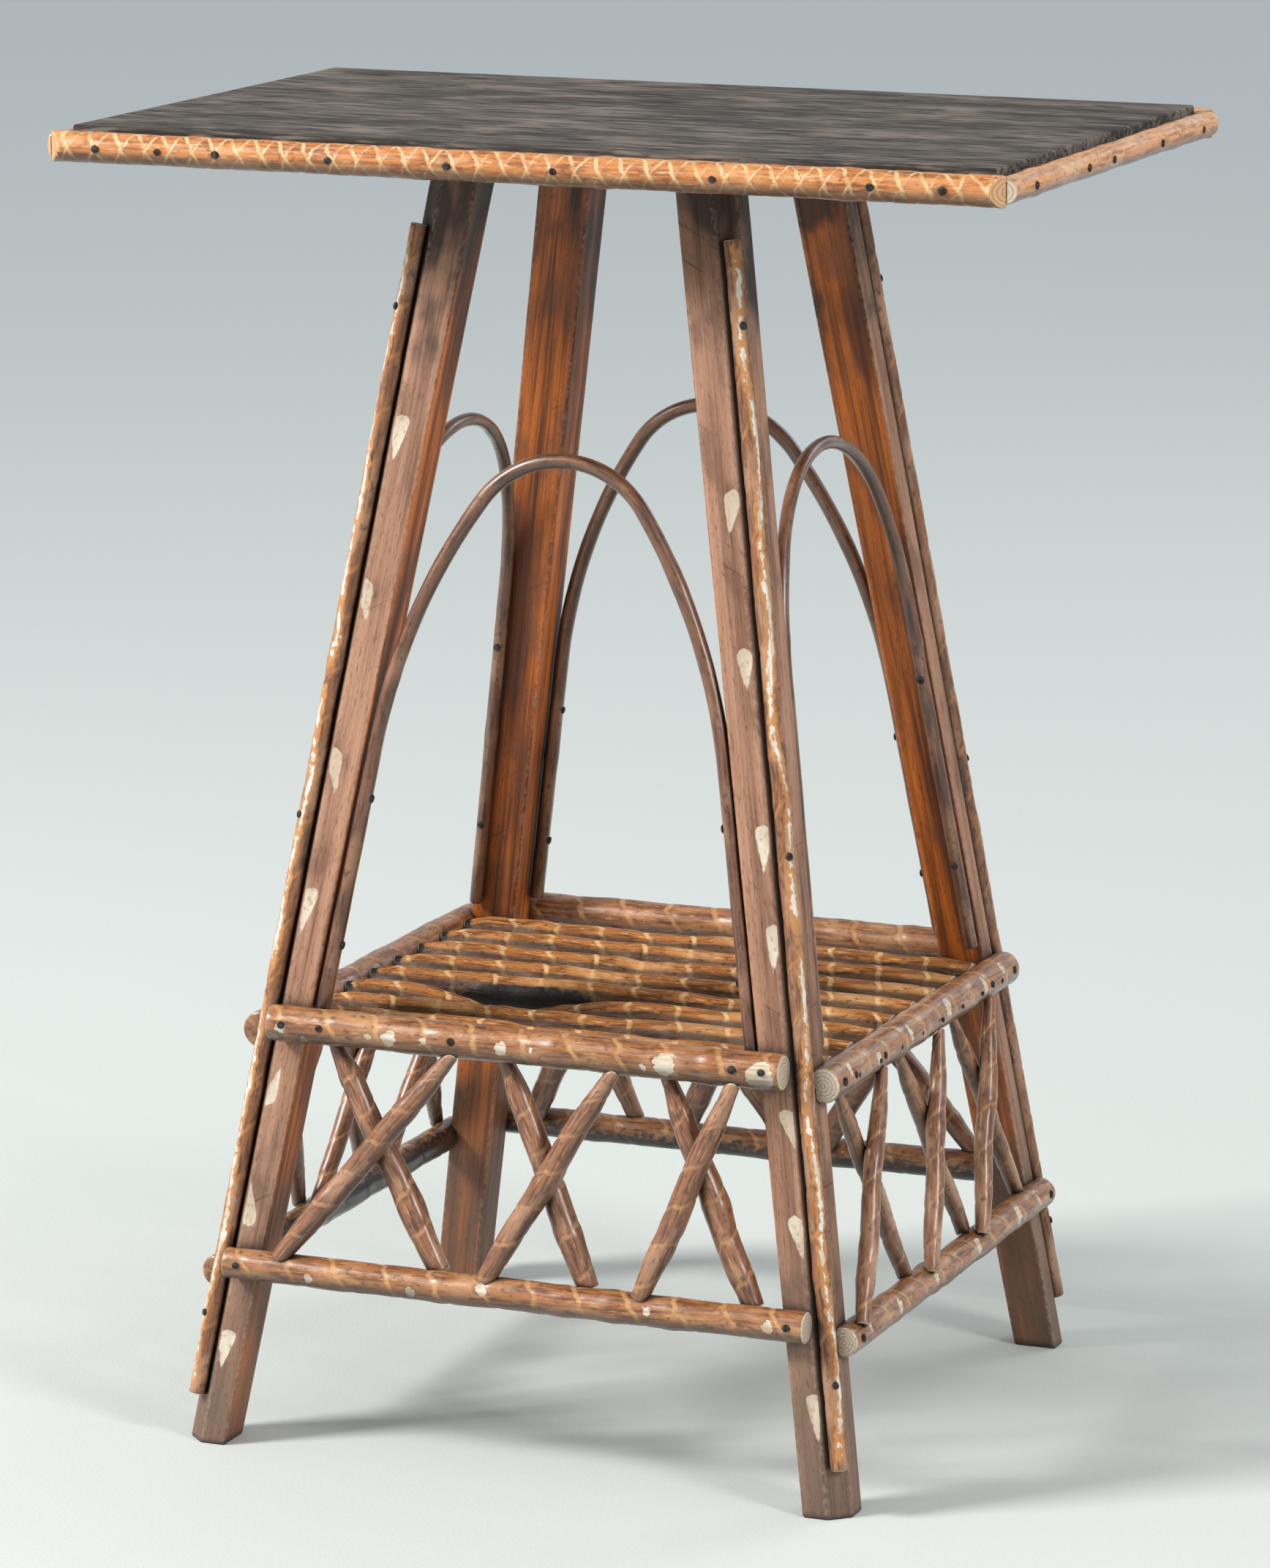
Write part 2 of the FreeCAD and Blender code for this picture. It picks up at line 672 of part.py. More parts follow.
LATTICE_ENDS = {
    ("long", "rise"): LONG_RISE_END_RATIOS,
    ("long", "fall"): LONG_FALL_END_RATIOS,
    ("short", "rise"): SHORT_RISE_END_RATIOS,
    ("short", "fall"): SHORT_FALL_END_RATIOS,
}
for side in SIDES:
    for direction in ("rise", "fall"):
        for number, ends in enumerate(LATTICE_ENDS[(side.kind, direction)], start=1):
            label, twig = make_lattice_twig(side, direction, number, ends)
            sub_parts[label] = twig


# Shelf: round twigs side by side, their ends let round the left and right upper rails


def make_shelf():
    """Shelf twigs as one group of separate rods."""
    right = SIDES[1]
    t, n = rail_middle(right, "upper")
    rail = right.point(0.0, t, n)
    reach = rail.x - rail_radius("upper") + size("shelf_cope")
    twigs = []
    for number, row in enumerate(shelf_twig_rows(), start=1):
        start = FreeCAD.Vector(-reach, row, rail.z)
        end = FreeCAD.Vector(reach, row, rail.z)
        twigs.append(rod(f"shelf_twig_{number}", start, end, "Dimensions.shelf_twig_radius"))
    coping = group("shelf_coping", [coping_rods["left"], coping_rods["right"], shelf_bores])
    return cut("shelf_twigs", group("shelf_blank", twigs), coping)


sub_parts["shelf_twigs"] = make_shelf()


# Arches: one bentwood rod on each side, straight up the legs and bent over the crown


def arch_path(side):
    """Middle line of an arch in its own plane: two straights, two flanks and a crown, whose radii
    follow from the room between the legs and the rise of the bend."""
    crown_turn = math.radians(size(f"{side.kind}_arch_crown_angle"))
    full_turn = math.pi / 2 - math.atan(arch_slope(side))
    end_t, spring_t, apex_t = arch_levels(side)
    half_span = arch_line(side, spring_t)
    rise = apex_t - spring_t
    crown_across = math.sin(crown_turn)
    crown_down = 1 - math.cos(crown_turn)
    flank_across = math.sin(full_turn) - crown_across
    flank_down = math.cos(crown_turn) - math.cos(full_turn)
    share = crown_across * flank_down - flank_across * crown_down
    crown_radius = (half_span * flank_down - rise * flank_across) / share
    flank_radius = (rise * crown_across - half_span * crown_down) / share

    def crown_point(turn):
        return FreeCAD.Vector(
            crown_radius * math.sin(turn), apex_t - crown_radius * (1 - math.cos(turn)), 0
        )

    def flank_point(turn):
        return crown_point(crown_turn) + FreeCAD.Vector(
            flank_radius * (math.sin(turn) - crown_across),
            flank_radius * (math.cos(turn) - math.cos(crown_turn)),
            0,
        )

    def mirrored(point):
        return FreeCAD.Vector(-point.x, point.y, point.z)

    shoulder = crown_point(crown_turn)
    flank = flank_point((crown_turn + full_turn) / 2)
    spring = flank_point(full_turn)
    end = FreeCAD.Vector(arch_line(side, end_t), end_t, 0)
    return Part.Wire(
        [
            Part.LineSegment(mirrored(end), mirrored(spring)).toShape(),
            Part.Arc(mirrored(spring), mirrored(flank), mirrored(shoulder)).toShape(),
            Part.Arc(mirrored(shoulder), crown_point(0.0), shoulder).toShape(),
            Part.Arc(shoulder, flank, spring).toShape(),
            Part.LineSegment(spring, end).toShape(),
        ]
    )


def make_arch(side):
    """Arch of one side, bored for the nails that hold it to the legs."""
    label = f"arch_{side.name}"
    inset = FreeCAD.Placement(FreeCAD.Vector(0, 0, -size("arch_radius")), FreeCAD.Rotation())
    path = add("Part::Feature", f"{label}_path")
    path.Shape = arch_path(side)
    path.Placement = side.frame.multiply(inset)
    first = path.Shape.OrderedEdges[0]
    ring = add("Part::Circle", f"{label}_section")
    bind(ring, Radius="Dimensions.arch_radius")
    start = first.valueAt(first.FirstParameter)
    heading = first.tangentAt(first.FirstParameter)
    ring.Placement = FreeCAD.Placement(start, FreeCAD.Rotation(UP, heading))
    sweep = add("Part::Sweep", f"{label}_bent")
    sweep.Sections = [ring]
    sweep.Spine = (path, [f"Edge{index}" for index in range(1, len(path.Shape.Edges) + 1)])
    sweep.Solid = True
    return cut(label, sweep, arch_bores)


for side in SIDES:
    sub_parts[f"arch_{side.name}"] = make_arch(side)


# Check every object, then write each sub-part

document.recompute()
for item in document.Objects:
    if "Invalid" in item.State or "Error" in item.State:
        raise RuntimeError(f"{item.Label} did not build")
for label, piece in sub_parts.items():
    shape = piece.Shape
    if shape.isNull() or not shape.isValid() or not shape.Solids:
        raise RuntimeError(f"{label} is not a valid solid")

os.makedirs("parts", exist_ok=True)
for label, piece in sub_parts.items():
    piece.Shape.exportStep(f"parts/{label}.step")
print(f"{len(sub_parts)} sub-parts written")
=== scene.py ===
"""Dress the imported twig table: bark twigs, sawn legs, bent rods, a stained board and nails."""
import logging
import math
from collections.abc import Iterator, Sequence
from dataclasses import dataclass
from enum import Enum, IntEnum
from functools import cache
from typing import ClassVar

import bmesh
import bpy
import numpy as np
from mathutils import Matrix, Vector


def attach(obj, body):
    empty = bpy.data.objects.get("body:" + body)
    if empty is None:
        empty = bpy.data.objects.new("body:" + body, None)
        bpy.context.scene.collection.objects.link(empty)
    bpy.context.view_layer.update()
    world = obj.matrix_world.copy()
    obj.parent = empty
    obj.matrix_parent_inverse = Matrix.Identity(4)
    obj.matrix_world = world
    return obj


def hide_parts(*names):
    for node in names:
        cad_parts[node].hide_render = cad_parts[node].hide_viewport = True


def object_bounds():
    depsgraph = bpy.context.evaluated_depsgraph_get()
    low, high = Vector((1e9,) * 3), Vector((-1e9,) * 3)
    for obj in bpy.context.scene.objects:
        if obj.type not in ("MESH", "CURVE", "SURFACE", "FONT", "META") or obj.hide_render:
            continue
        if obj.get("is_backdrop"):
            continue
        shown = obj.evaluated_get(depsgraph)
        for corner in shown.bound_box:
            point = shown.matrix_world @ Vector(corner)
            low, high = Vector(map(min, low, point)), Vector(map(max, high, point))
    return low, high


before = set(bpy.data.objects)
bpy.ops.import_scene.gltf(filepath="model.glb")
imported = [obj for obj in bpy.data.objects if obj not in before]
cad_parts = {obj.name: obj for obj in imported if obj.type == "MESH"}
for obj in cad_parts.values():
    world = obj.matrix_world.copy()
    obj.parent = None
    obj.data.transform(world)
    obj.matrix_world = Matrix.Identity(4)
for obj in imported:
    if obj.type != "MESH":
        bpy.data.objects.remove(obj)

CAD_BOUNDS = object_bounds()
LOG = logging.getLogger("twig_table")
MILLIMETRE = 0.001
TURN = 2 * math.pi
Array = np.ndarray
Socket = bpy.types.NodeSocket
Material = bpy.types.Material
Mesh = bpy.types.Mesh
Value = float | Socket
Spot = tuple[float, float, float]
Colour = tuple[float, float, float, float]
NailPlace = tuple[Array, Array]
Section = tuple[Array, Array, Array]
UPRIGHT = np.array([0.0, 0.0, 1.0])
OUTSIDE = -3.0
FAR_OUTSIDE = -9.0


def shade(*levels: int) -> Colour:
    """Turn screen levels into the linear colour that shaders take.

    Args:
        levels: Red, green and blue levels, 0 to 255.

    Returns:
        Linear red, green and blue, and full alpha.
    """
    parts = [level / 255 for level in levels]
    linear = [part / 12.92 if part <= 0.04045 else ((part + 0.055) / 1.055) ** 2.4 for part in parts]
    return (*linear, 1.0)


def unit(vector: Array) -> Array:
    """Return a vector, or each row of an array of them, at length one."""
    return vector / np.linalg.norm(vector, axis=-1, keepdims=True)


def swing(angle: Array, turn: float | Array) -> Array:
    """Angles measured from a turn, between half a turn back and half a turn on."""
    return (angle - turn + math.pi) % TURN - math.pi


def waves(places: Array, lengths: tuple[float, ...], draw: np.random.Generator) -> Array:
    """Make a smooth wandering value along a line.

    Args:
        places: Distances along the line.
        lengths: Lengths of the waves that are added up.
        draw: Source of the waves' starting points.

    Returns:
        A value from about -1 to 1 at each place.
    """
    total = np.zeros_like(places)
    for length in lengths:
        total += np.sin(places * (TURN / length) + draw.uniform(0.0, TURN))
    return total / len(lengths)


class Axis(IntEnum):
    """The two level directions of the table."""

    X = 0
    Y = 1

    @property
    def other(self) -> "Axis":
        """The level direction square to this one."""
        return Axis.Y if self is Axis.X else Axis.X


class Course(Enum):
    """The two courses of rails."""

    UPPER = "upper"
    LOWER = "lower"


class Lay(Enum):
    """The two ways that lattice twigs lean, seen from outside."""

    RISE = "rise"
    FALL = "fall"


class Seed(IntEnum):
    """First random seed of each kind of piece."""

    BOARD = 5
    BAND = 11
    CORNER_TWIG = 21
    UPPER_RAIL = 31
    LEG = 40
    LOWER_RAIL = 41
    ARCH = 61
    CHIPS = 71
    SHELF_TWIG = 81
    LATTICE_TWIG = 100


@dataclass(frozen=True)
class TableSizes:
    """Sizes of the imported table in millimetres, as its solids have them."""

    height: float = 735.0
    board: tuple[float, float] = (532.0, 348.0)
    board_thickness: float = 16.0
    band_radii: tuple[float, float] = (8.5, 7.2)
    band_drop: float = 2.4
    band_seat: float = 1.2
    mitre_gap: float = 0.3
    band_corner_reach: float = 12.5
    foot_half: tuple[float, float] = (185.5, 180.0)
    head_half: tuple[float, float] = (72.0, 83.5)
    foot_section: tuple[float, float] = (25.5, 25.5)
    head_section: tuple[float, float] = (32.5, 27.5)
    leg_chamfer: float = 11.0
    batten_thickness: float = 12.0
    batten_width: float = 30.0
    corner_twig_radius: float = 4.8
    corner_twig_seat: float = 0.4
    corner_twig_bottom: float = 27.0
    corner_twig_drop: float = 38.0
    rail_end_gap: float = 2.5
    back_rail_drop: float = 4.5
    lattice_lap: float = 6.0
    twig_taper: float = 0.88
    fit_clearance: float = 0.25
    shelf_twig_radius: float = 10.0
    shelf_half_spread: float = 121.0
    shelf_twig_count: int = 8
    shelf_cope: float = 2.4
    arch_radius: float = 4.6
    arch_apex_height: float = 557.0
    arch_end_height: float = 247.0
    arch_points: int = 60

    @property
    def leg_height(self) -> float:
        """Height of the board's underside, where the legs end."""
        return self.height - self.board_thickness

    @property
    def band_height(self) -> float:
        """Height of the edge twigs' middle line."""
        return self.height - self.band_drop - self.band_radii[Axis.X]

    @property
    def corner_inset(self) -> float:
        """Distance of a corner twig's middle line from the leg's sharp corner, along X and Y."""
        return self.leg_chamfer / 2 - (self.corner_twig_radius - self.corner_twig_seat) / math.sqrt(2)

    @property
    def corner_twig_ends(self) -> tuple[float, float]:
        """Heights of the corner twigs' lower and upper ends."""
        return self.corner_twig_bottom, self.leg_height - self.corner_twig_drop

    @property
    def batten_face(self) -> float:
        """Inner face of a batten along X, from the middle of the table."""
        return self.leg_inner(Axis.X, self.leg_height) - self.batten_width

    @property
    def shelf_rows(self) -> Array:
        """Place of each shelf twig along Y, from the back."""
        return np.linspace(self.shelf_half_spread, -self.shelf_half_spread, self.shelf_twig_count)

    def leg_middle(self, axis: Axis, level: float) -> float:
        """Middle of a leg at a level, from the middle of the table."""
        foot, head = self.foot_half[axis], self.head_half[axis]
        return foot + (head - foot) * level / self.leg_height

    def leg_half(self, axis: Axis, level: float) -> float:
        """Half of a leg's section at a level."""
        foot, head = self.foot_section[axis], self.head_section[axis]
        return (foot + (head - foot) * level / self.leg_height) / 2

    def leg_outer(self, axis: Axis, level: float) -> float:
        """Outer face of a leg at a level."""
        return self.leg_middle(axis, level) + self.leg_half(axis, level)

    def leg_inner(self, axis: Axis, level: float) -> float:
        """Inner face of a leg at a level."""
        return self.leg_middle(axis, level) - self.leg_half(axis, level)


@dataclass(frozen=True)
class SideSizes:
    """Sizes that differ between the long and the short sides, in millimetres."""

    rail_heights: dict[Course, float]
    rail_seat: float
    lattice_radii: dict[Lay, float]
    fall_setback: float
    bend_rise: float
    crown_angle: float
    rod_radius: float
    lattice_ends: dict[Lay, tuple[tuple[float, float], ...]]
    band_nails: tuple[float, ...]


SIZES = TableSizes()
RAIL_RADII = {Course.UPPER: 10.0, Course.LOWER: 8.8}
LONG_SIDE = SideSizes(
    rail_heights={Course.UPPER: 241.0, Course.LOWER: 105.0},
    rail_seat=0.8,
    lattice_radii={Lay.RISE: 6.2, Lay.FALL: 6.8},
    fall_setback=9.5,
    bend_rise=162.5,
    crown_angle=55.0,
    rod_radius=4.2,
    lattice_ends={
        Lay.RISE: ((-0.88, -0.25), (-0.10, 0.35), (0.48, 0.79)),
        Lay.FALL: ((-0.75, -0.30), (-0.10, 0.26), (0.50, 0.87)),
    },
    band_nails=(-0.92, -0.78, -0.65, -0.40, -0.14, 0.09, 0.43, 0.76, 0.91),
)
SHORT_SIDE = SideSizes(
    rail_heights={Course.UPPER: 231.0, Course.LOWER: 94.0},
    rail_seat=5.5,
    lattice_radii={Lay.RISE: 5.0, Lay.FALL: 4.8},
    fall_setback=3.0,
    bend_rise=110.4,
    crown_angle=60.0,
    rod_radius=3.8,
    lattice_ends={
        Lay.RISE: ((-0.99, -0.50), (-0.27, 0.10), (0.28, 0.66)),
        Lay.FALL: ((-0.80, -0.36), (-0.18, 0.27), (0.40, 0.87)),
    },
    band_nails=(-0.84, -0.33, -0.08, 0.42, 0.86),
)


class Side:
    """One side of the table, with its own right, up and out directions along the leaning legs."""

    def __init__(self, name: str, number: int) -> None:
        """Set up the side's directions.

        Args:
            name: Name of the side, as the nodes use it.
            number: Quarter turns from the front, seen from above against the clock.
        """
        self.name = name
        self.number = number
        self.along = Axis(number % 2)
        self.sizes = LONG_SIDE if self.along is Axis.X else SHORT_SIDE
        foot = SIZES.leg_outer(self.along.other, 0.0)
        head = SIZES.leg_outer(self.along.other, SIZES.leg_height)
        self.lean = math.atan2(foot - head, SIZES.leg_height)
        angle = number * TURN / 4
        self.right = np.array([round(math.cos(angle)), round(math.sin(angle)), 0.0])
        self.level_out = np.array([self.right[1], -self.right[0], 0.0])
        self.up = UPRIGHT * math.cos(self.lean) - self.level_out * math.sin(self.lean)
        self.out = self.level_out * math.cos(self.lean) + UPRIGHT * math.sin(self.lean)
        self.origin = self.level_out * foot

    def point(self, right: float, up: float, out: float) -> Array:
        """Point of the table from this side's own coordinates."""
        return self.origin + right * self.right + up * self.up + out * self.out

    def slope_place(self, level: float, out: float) -> float:
        """Distance up the side's slope that lies at a level, at a distance out from the leg faces."""
        return (level - out * math.sin(self.lean)) / math.cos(self.lean)

    def rail_height(self, course: Course) -> float:
        """Height of a rail's middle line: the back rails lie lower than the front ones."""
        drop = SIZES.back_rail_drop if self.name == "back" else 0.0
        return self.sizes.rail_heights[course] - drop

    def rail(self, course: Course) -> tuple[float, float, float]:
        """Place of a rail.

        Args:
            course: Which of the side's two rails.

        Returns:
            How far up and out its middle line lies, and half of its length.
        """
        level = self.rail_height(course)
        out = RAIL_RADII[course] - self.sizes.rail_seat
        clear = SIZES.corner_inset + SIZES.corner_twig_radius + SIZES.rail_end_gap
        return self.slope_place(level, out), out, SIZES.leg_outer(self.along, level) - clear

    @property
    def lattice_half(self) -> float:
        """Half the distance between the leg middles, half way between the rails."""
        middle = sum(self.rail(course)[0] for course in Course) / 2
        return SIZES.leg_middle(self.along, middle * math.cos(self.lean))

    def rail_cope(self, course: Course) -> tuple[Array, Array, float]:
        """A rail as coped twigs meet it: a point of its middle line, its direction and its radius."""
        up, out, _ = self.rail(course)
        return self.point(0.0, up, out), self.right, RAIL_RADII[course] + SIZES.fit_clearance

    def arch_path(self) -> Array:
        """Middle line of the arch: two straights, two flanks and a crown.

        Returns:
            Points in millimetres from the left end to the right end.
        """
        radius = SIZES.arch_radius
        lean_in = SIZES.leg_inner(self.along, 0.0) - SIZES.leg_inner(self.along, SIZES.leg_height)
        slope = lean_in * math.cos(self.lean) / SIZES.leg_height
        clear = (radius + SIZES.fit_clearance) * math.hypot(1.0, slope)

        def beside_leg(up: float) -> float:
            """Place of the middle line beside a leg."""
            level = up * math.cos(self.lean) - radius * math.sin(self.lean)
            return SIZES.leg_inner(self.along, level) - clear

        crown, full = math.radians(self.sizes.crown_angle), math.pi / 2 - math.atan(slope)
        apex = self.slope_place(SIZES.arch_apex_height, -radius)
        foot = self.slope_place(SIZES.arch_end_height, -radius)
        crown_across, crown_down = math.sin(crown), 1 - math.cos(crown)
        flank_across, flank_down = math.sin(full) - crown_across, math.cos(crown) - math.cos(full)
        share = crown_across * flank_down - flank_across * crown_down
        rise = self.sizes.bend_rise
        span = beside_leg(apex - rise)
        crown_radius = (span * flank_down - rise * flank_across) / share
        flank_radius = (rise * crown_across - span * crown_down) / share
        turns = np.linspace(0.0, full, SIZES.arch_points)
        over = np.minimum(turns, crown)
        right = crown_radius * np.sin(over) + flank_radius * (np.sin(turns) - np.sin(over))
        up = apex - crown_radius * (1 - np.cos(over)) - flank_radius * (np.cos(over) - np.cos(turns))
        right, up = np.append(right, beside_leg(foot)), np.append(up, foot)
        right, up = np.concatenate([-right[:0:-1], right]), np.concatenate([up[:0:-1], up])
        return np.array([self.point(s, t, -radius) for s, t in zip(right, up)])


SIDES = (Side("front", 0), Side("right", 1), Side("back", 2), Side("left", 3))


@dataclass(frozen=True)
class Leg:
    """One of the four legs, with the signs of its place along X and Y."""

    number: int
    name: str
    signs: tuple[int, int]

    def corner(self, level: float, inset: float) -> Array:
        """Point at a level, set in along X and Y from the sharp outer corner."""
        out = np.array([*(SIZES.leg_outer(axis, level) for axis in Axis), 0.0]) - inset
        return out * [*self.signs, 0.0] + UPRIGHT * level

    def twig_directions(self) -> tuple[Array, Array]:
        """Directions of the corner twig.

        Returns:
            The way up along it, and the way that it faces, off the leg.
        """
        low, high = (self.corner(level, SIZES.corner_inset) for level in SIZES.corner_twig_ends)
        grain = unit(high - low)
        sign = np.array([*self.signs, 0.0])
        return grain, unit(sign - grain * (sign @ grain))


LEGS = (
    Leg(0, "front_left", (-1, -1)),
    Leg(1, "front_right", (1, -1)),
    Leg(2, "back_right", (1, 1)),
    Leg(3, "back_left", (-1, 1)),
)


class NodeTree:
    """Short forms for wiring the nodes of a tree."""

    def __init__(self, tree: bpy.types.NodeTree) -> None:
        """Take the tree that is to be wired."""
        self.tree = tree

    def node(self, kind: str, inputs: dict[object, object], **settings: object) -> bpy.types.Node:
        """Add a node.

        Args:
            kind: Type of the node.
            inputs: Values or sockets for its inputs, by name or number.
            settings: Properties to set on it.

        Returns:
            The new node.
        """
        node = self.tree.nodes.new(kind)
        for key, value in settings.items():
            setattr(node, key, value)
        for key, value in inputs.items():
            self.feed(node.inputs[key], value)
        return node

    def feed(self, socket: Socket, value: object) -> None:
        """Link a socket to another, or set its value.

        Args:
            socket: The input.
            value: The socket or the value that it gets.
        """
        if isinstance(value, Socket):
            self.tree.links.new(value, socket)
        else:
            socket.default_value = value


class Shader(NodeTree):
    """The nodes of one material, on a principled surface."""

    def __init__(self, name: str) -> None:
        """Start a material.

        Args:
            name: Name of the material.
        """
        self.material = bpy.data.materials.new(name)
        self.material.use_nodes = True
        super().__init__(self.material.node_tree)
        self.surface = self.tree.nodes["Principled BSDF"]

    def math(self, operation: str, *values: Value) -> Socket:
        """Add a math node and return its result."""
        return self.node("ShaderNodeMath", dict(enumerate(values)), operation=operation).outputs[0]

    def parts(self, attribute: str) -> tuple[Socket, ...]:
        """Return the three parts of a vector attribute of the piece."""
        source = self.node("ShaderNodeAttribute", {}, attribute_name=attribute)
        return tuple(self.node("ShaderNodeSeparateXYZ", {0: source.outputs["Vector"]}).outputs)

    def object_parts(self) -> tuple[Socket, ...]:
        """Read the object coordinates.

        Returns:
            Their three parts, in millimetres.
        """
        source = self.node("ShaderNodeTexCoord", {}).outputs["Object"]
        scale = {0: source, 1: (1 / MILLIMETRE,) * 3}
        scaled = self.node("ShaderNodeVectorMath", scale, operation="MULTIPLY")
        return tuple(self.node("ShaderNodeSeparateXYZ", {0: scaled.outputs[0]}).outputs)

    def noise(self, parts: tuple[Value, ...], stretch: tuple[float, ...], detail: float = 3.0) -> Socket:
        """Add a noise pattern.

        Args:
            parts: Coordinates in millimetres.
            stretch: Pattern size in millimetres along each coordinate.
            detail: Finer layers of the pattern.

        Returns:
            A value about 0.5.
        """
        scaled = [self.math("DIVIDE", part, size) for part, size in zip(parts, stretch)]
        vector = self.node("ShaderNodeCombineXYZ", dict(enumerate(scaled))).outputs[0]
        inputs = {"Vector": vector, "Scale": 1.0, "Detail": detail}
        return self.node("ShaderNodeTexNoise", inputs).outputs[0]

    def around(self, noise: Value, amount: float, base: Value) -> Socket:
        """Shift a base value up and down by a noise."""
        return self.math("MULTIPLY_ADD", self.math("SUBTRACT", noise, 0.5), amount, base)

    def ramp(self, value: Value, low: float, high: float, start: float = 0.0, end: float = 1.0) -> Socket:
        """Map a value smoothly from low to high on to start to end."""
        inputs = {"Value": value, "From Min": low, "From Max": high, "To Min": start, "To Max": end}
        return self.node("ShaderNodeMapRange", inputs, interpolation_type="SMOOTHSTEP").outputs[0]

    def mix(self, share: Value, first: object, second: object) -> Socket:
        """Mix two colours by a share of the second."""
        return self.node("ShaderNodeMix", {0: share, 6: first, 7: second}, data_type="RGBA").outputs[2]

    def lay(self, colour: object, tint: object, value: Value, *limits: float) -> Socket:
        """Lay a tint over a colour by a value's ramp between limits."""
        return self.mix(self.ramp(value, *limits), colour, tint)

    def shade_crevices(self, colour: Value, shadow_colour: Colour, reach: float) -> Socket:
        """Paint shade into crevices, darkest where the surface is most closed in.

        Args:
            colour: Colour of the open surface.
            shadow_colour: Painted shade deep in a crevice.
            reach: Width of the crevices that count, in millimetres.

        Returns:
            The colour with painted crevice shade.
        """
        inputs = {"Distance": reach * MILLIMETRE}
        open_share = self.node("ShaderNodeAmbientOcclusion", inputs, samples=6).outputs["AO"]
        return self.lay(shadow_colour, colour, open_share, 0.22, 0.88)

    def upward(self) -> Socket:
        """How far the surface faces up, from -1 to 1."""
        normal = self.node("ShaderNodeNewGeometry", {}).outputs["Normal"]
        return self.node("ShaderNodeSeparateXYZ", {"Vector": normal}).outputs["Z"]

    def fix(self, values: dict[str, float]) -> None:
        """Set named constants of the surface."""
        for name, value in values.items():
            self.surface.inputs[name].default_value = value

    def finish(self, colour: Value, roughness: Value, height: Value, depth: float) -> Material:
        """Wire the surface.

        Args:
            colour: Base colour.
            roughness: Roughness.
            height: Relief, about 0 to 1.
            depth: Depth of the relief in millimetres.

        Returns:
            The finished material.
        """
        inputs = {"Height": height, "Distance": depth * MILLIMETRE, "Strength": 1.0}
        bump = self.node("ShaderNodeBump", inputs)
        self.feed(self.surface.inputs["Base Color"], colour)
        self.feed(self.surface.inputs["Roughness"], roughness)
        self.feed(self.surface.inputs["Normal"], bump.outputs[0])
        return self.material


class Carving(Enum):
    """How the bark of a twig is cut."""

    SPIRAL = "one spiral stripe"
    NET = "spiral stripes of both hands"
    # The long pale strips stand partly for peeled bark and partly for painted highlight.
    STRIPS = "spiral stripe and long peeled strips"
    SMOOTH = "peeled and left smooth"


@dataclass(frozen=True)
class BarkFinish:
    """Bark with carved stripes, pale blazes and cut ends."""

    name: str
    dark: Colour
    middle: Colour
    bloom: Colour
    stripe: Colour
    carving: Carving = Carving.SPIRAL
    pitch: float = 29.0
    starts: int = 1
    stripe_width: float = 3.6
    stripe_strength: float = 0.85
    cross_width: float = 1.8
    # Painted shade on faces that turn down: the upward limits over which it fades out.
    underside_shade: tuple[float, float] = (-0.75, 0.3)
    gloss: float = 0.46
    film: float = 0.5
    shine: float = 0.5
    pale: Colour = shade(236, 228, 212)
    heartwood: Colour = shade(206, 172, 134)
    # Colour of the painted shade underneath, in crevices and in marked patches.
    shadow_colour: Colour = shade(16, 9, 5)

    def groove(self, angle: Array, along: Array) -> Array:
        """Shape of the carved stripe.

        Args:
            angle: Turn of each vertex round the twig.
            along: Place of each vertex along it.

        Returns:
            Share of the stripe's depth, 0 to 1.
        """
        if self.carving is Carving.SMOOTH:
            return np.zeros_like(along)
        phase = along / self.pitch - self.starts * angle / TURN
        distance = np.abs(phase - np.floor(phase) - 0.5) * self.pitch
        return np.clip(1.5 - distance / (self.stripe_width / 2), 0.0, 1.0)

    @cache
    def material(self) -> Material:
        """The bark material, built once."""
        return BarkShader(self).build()


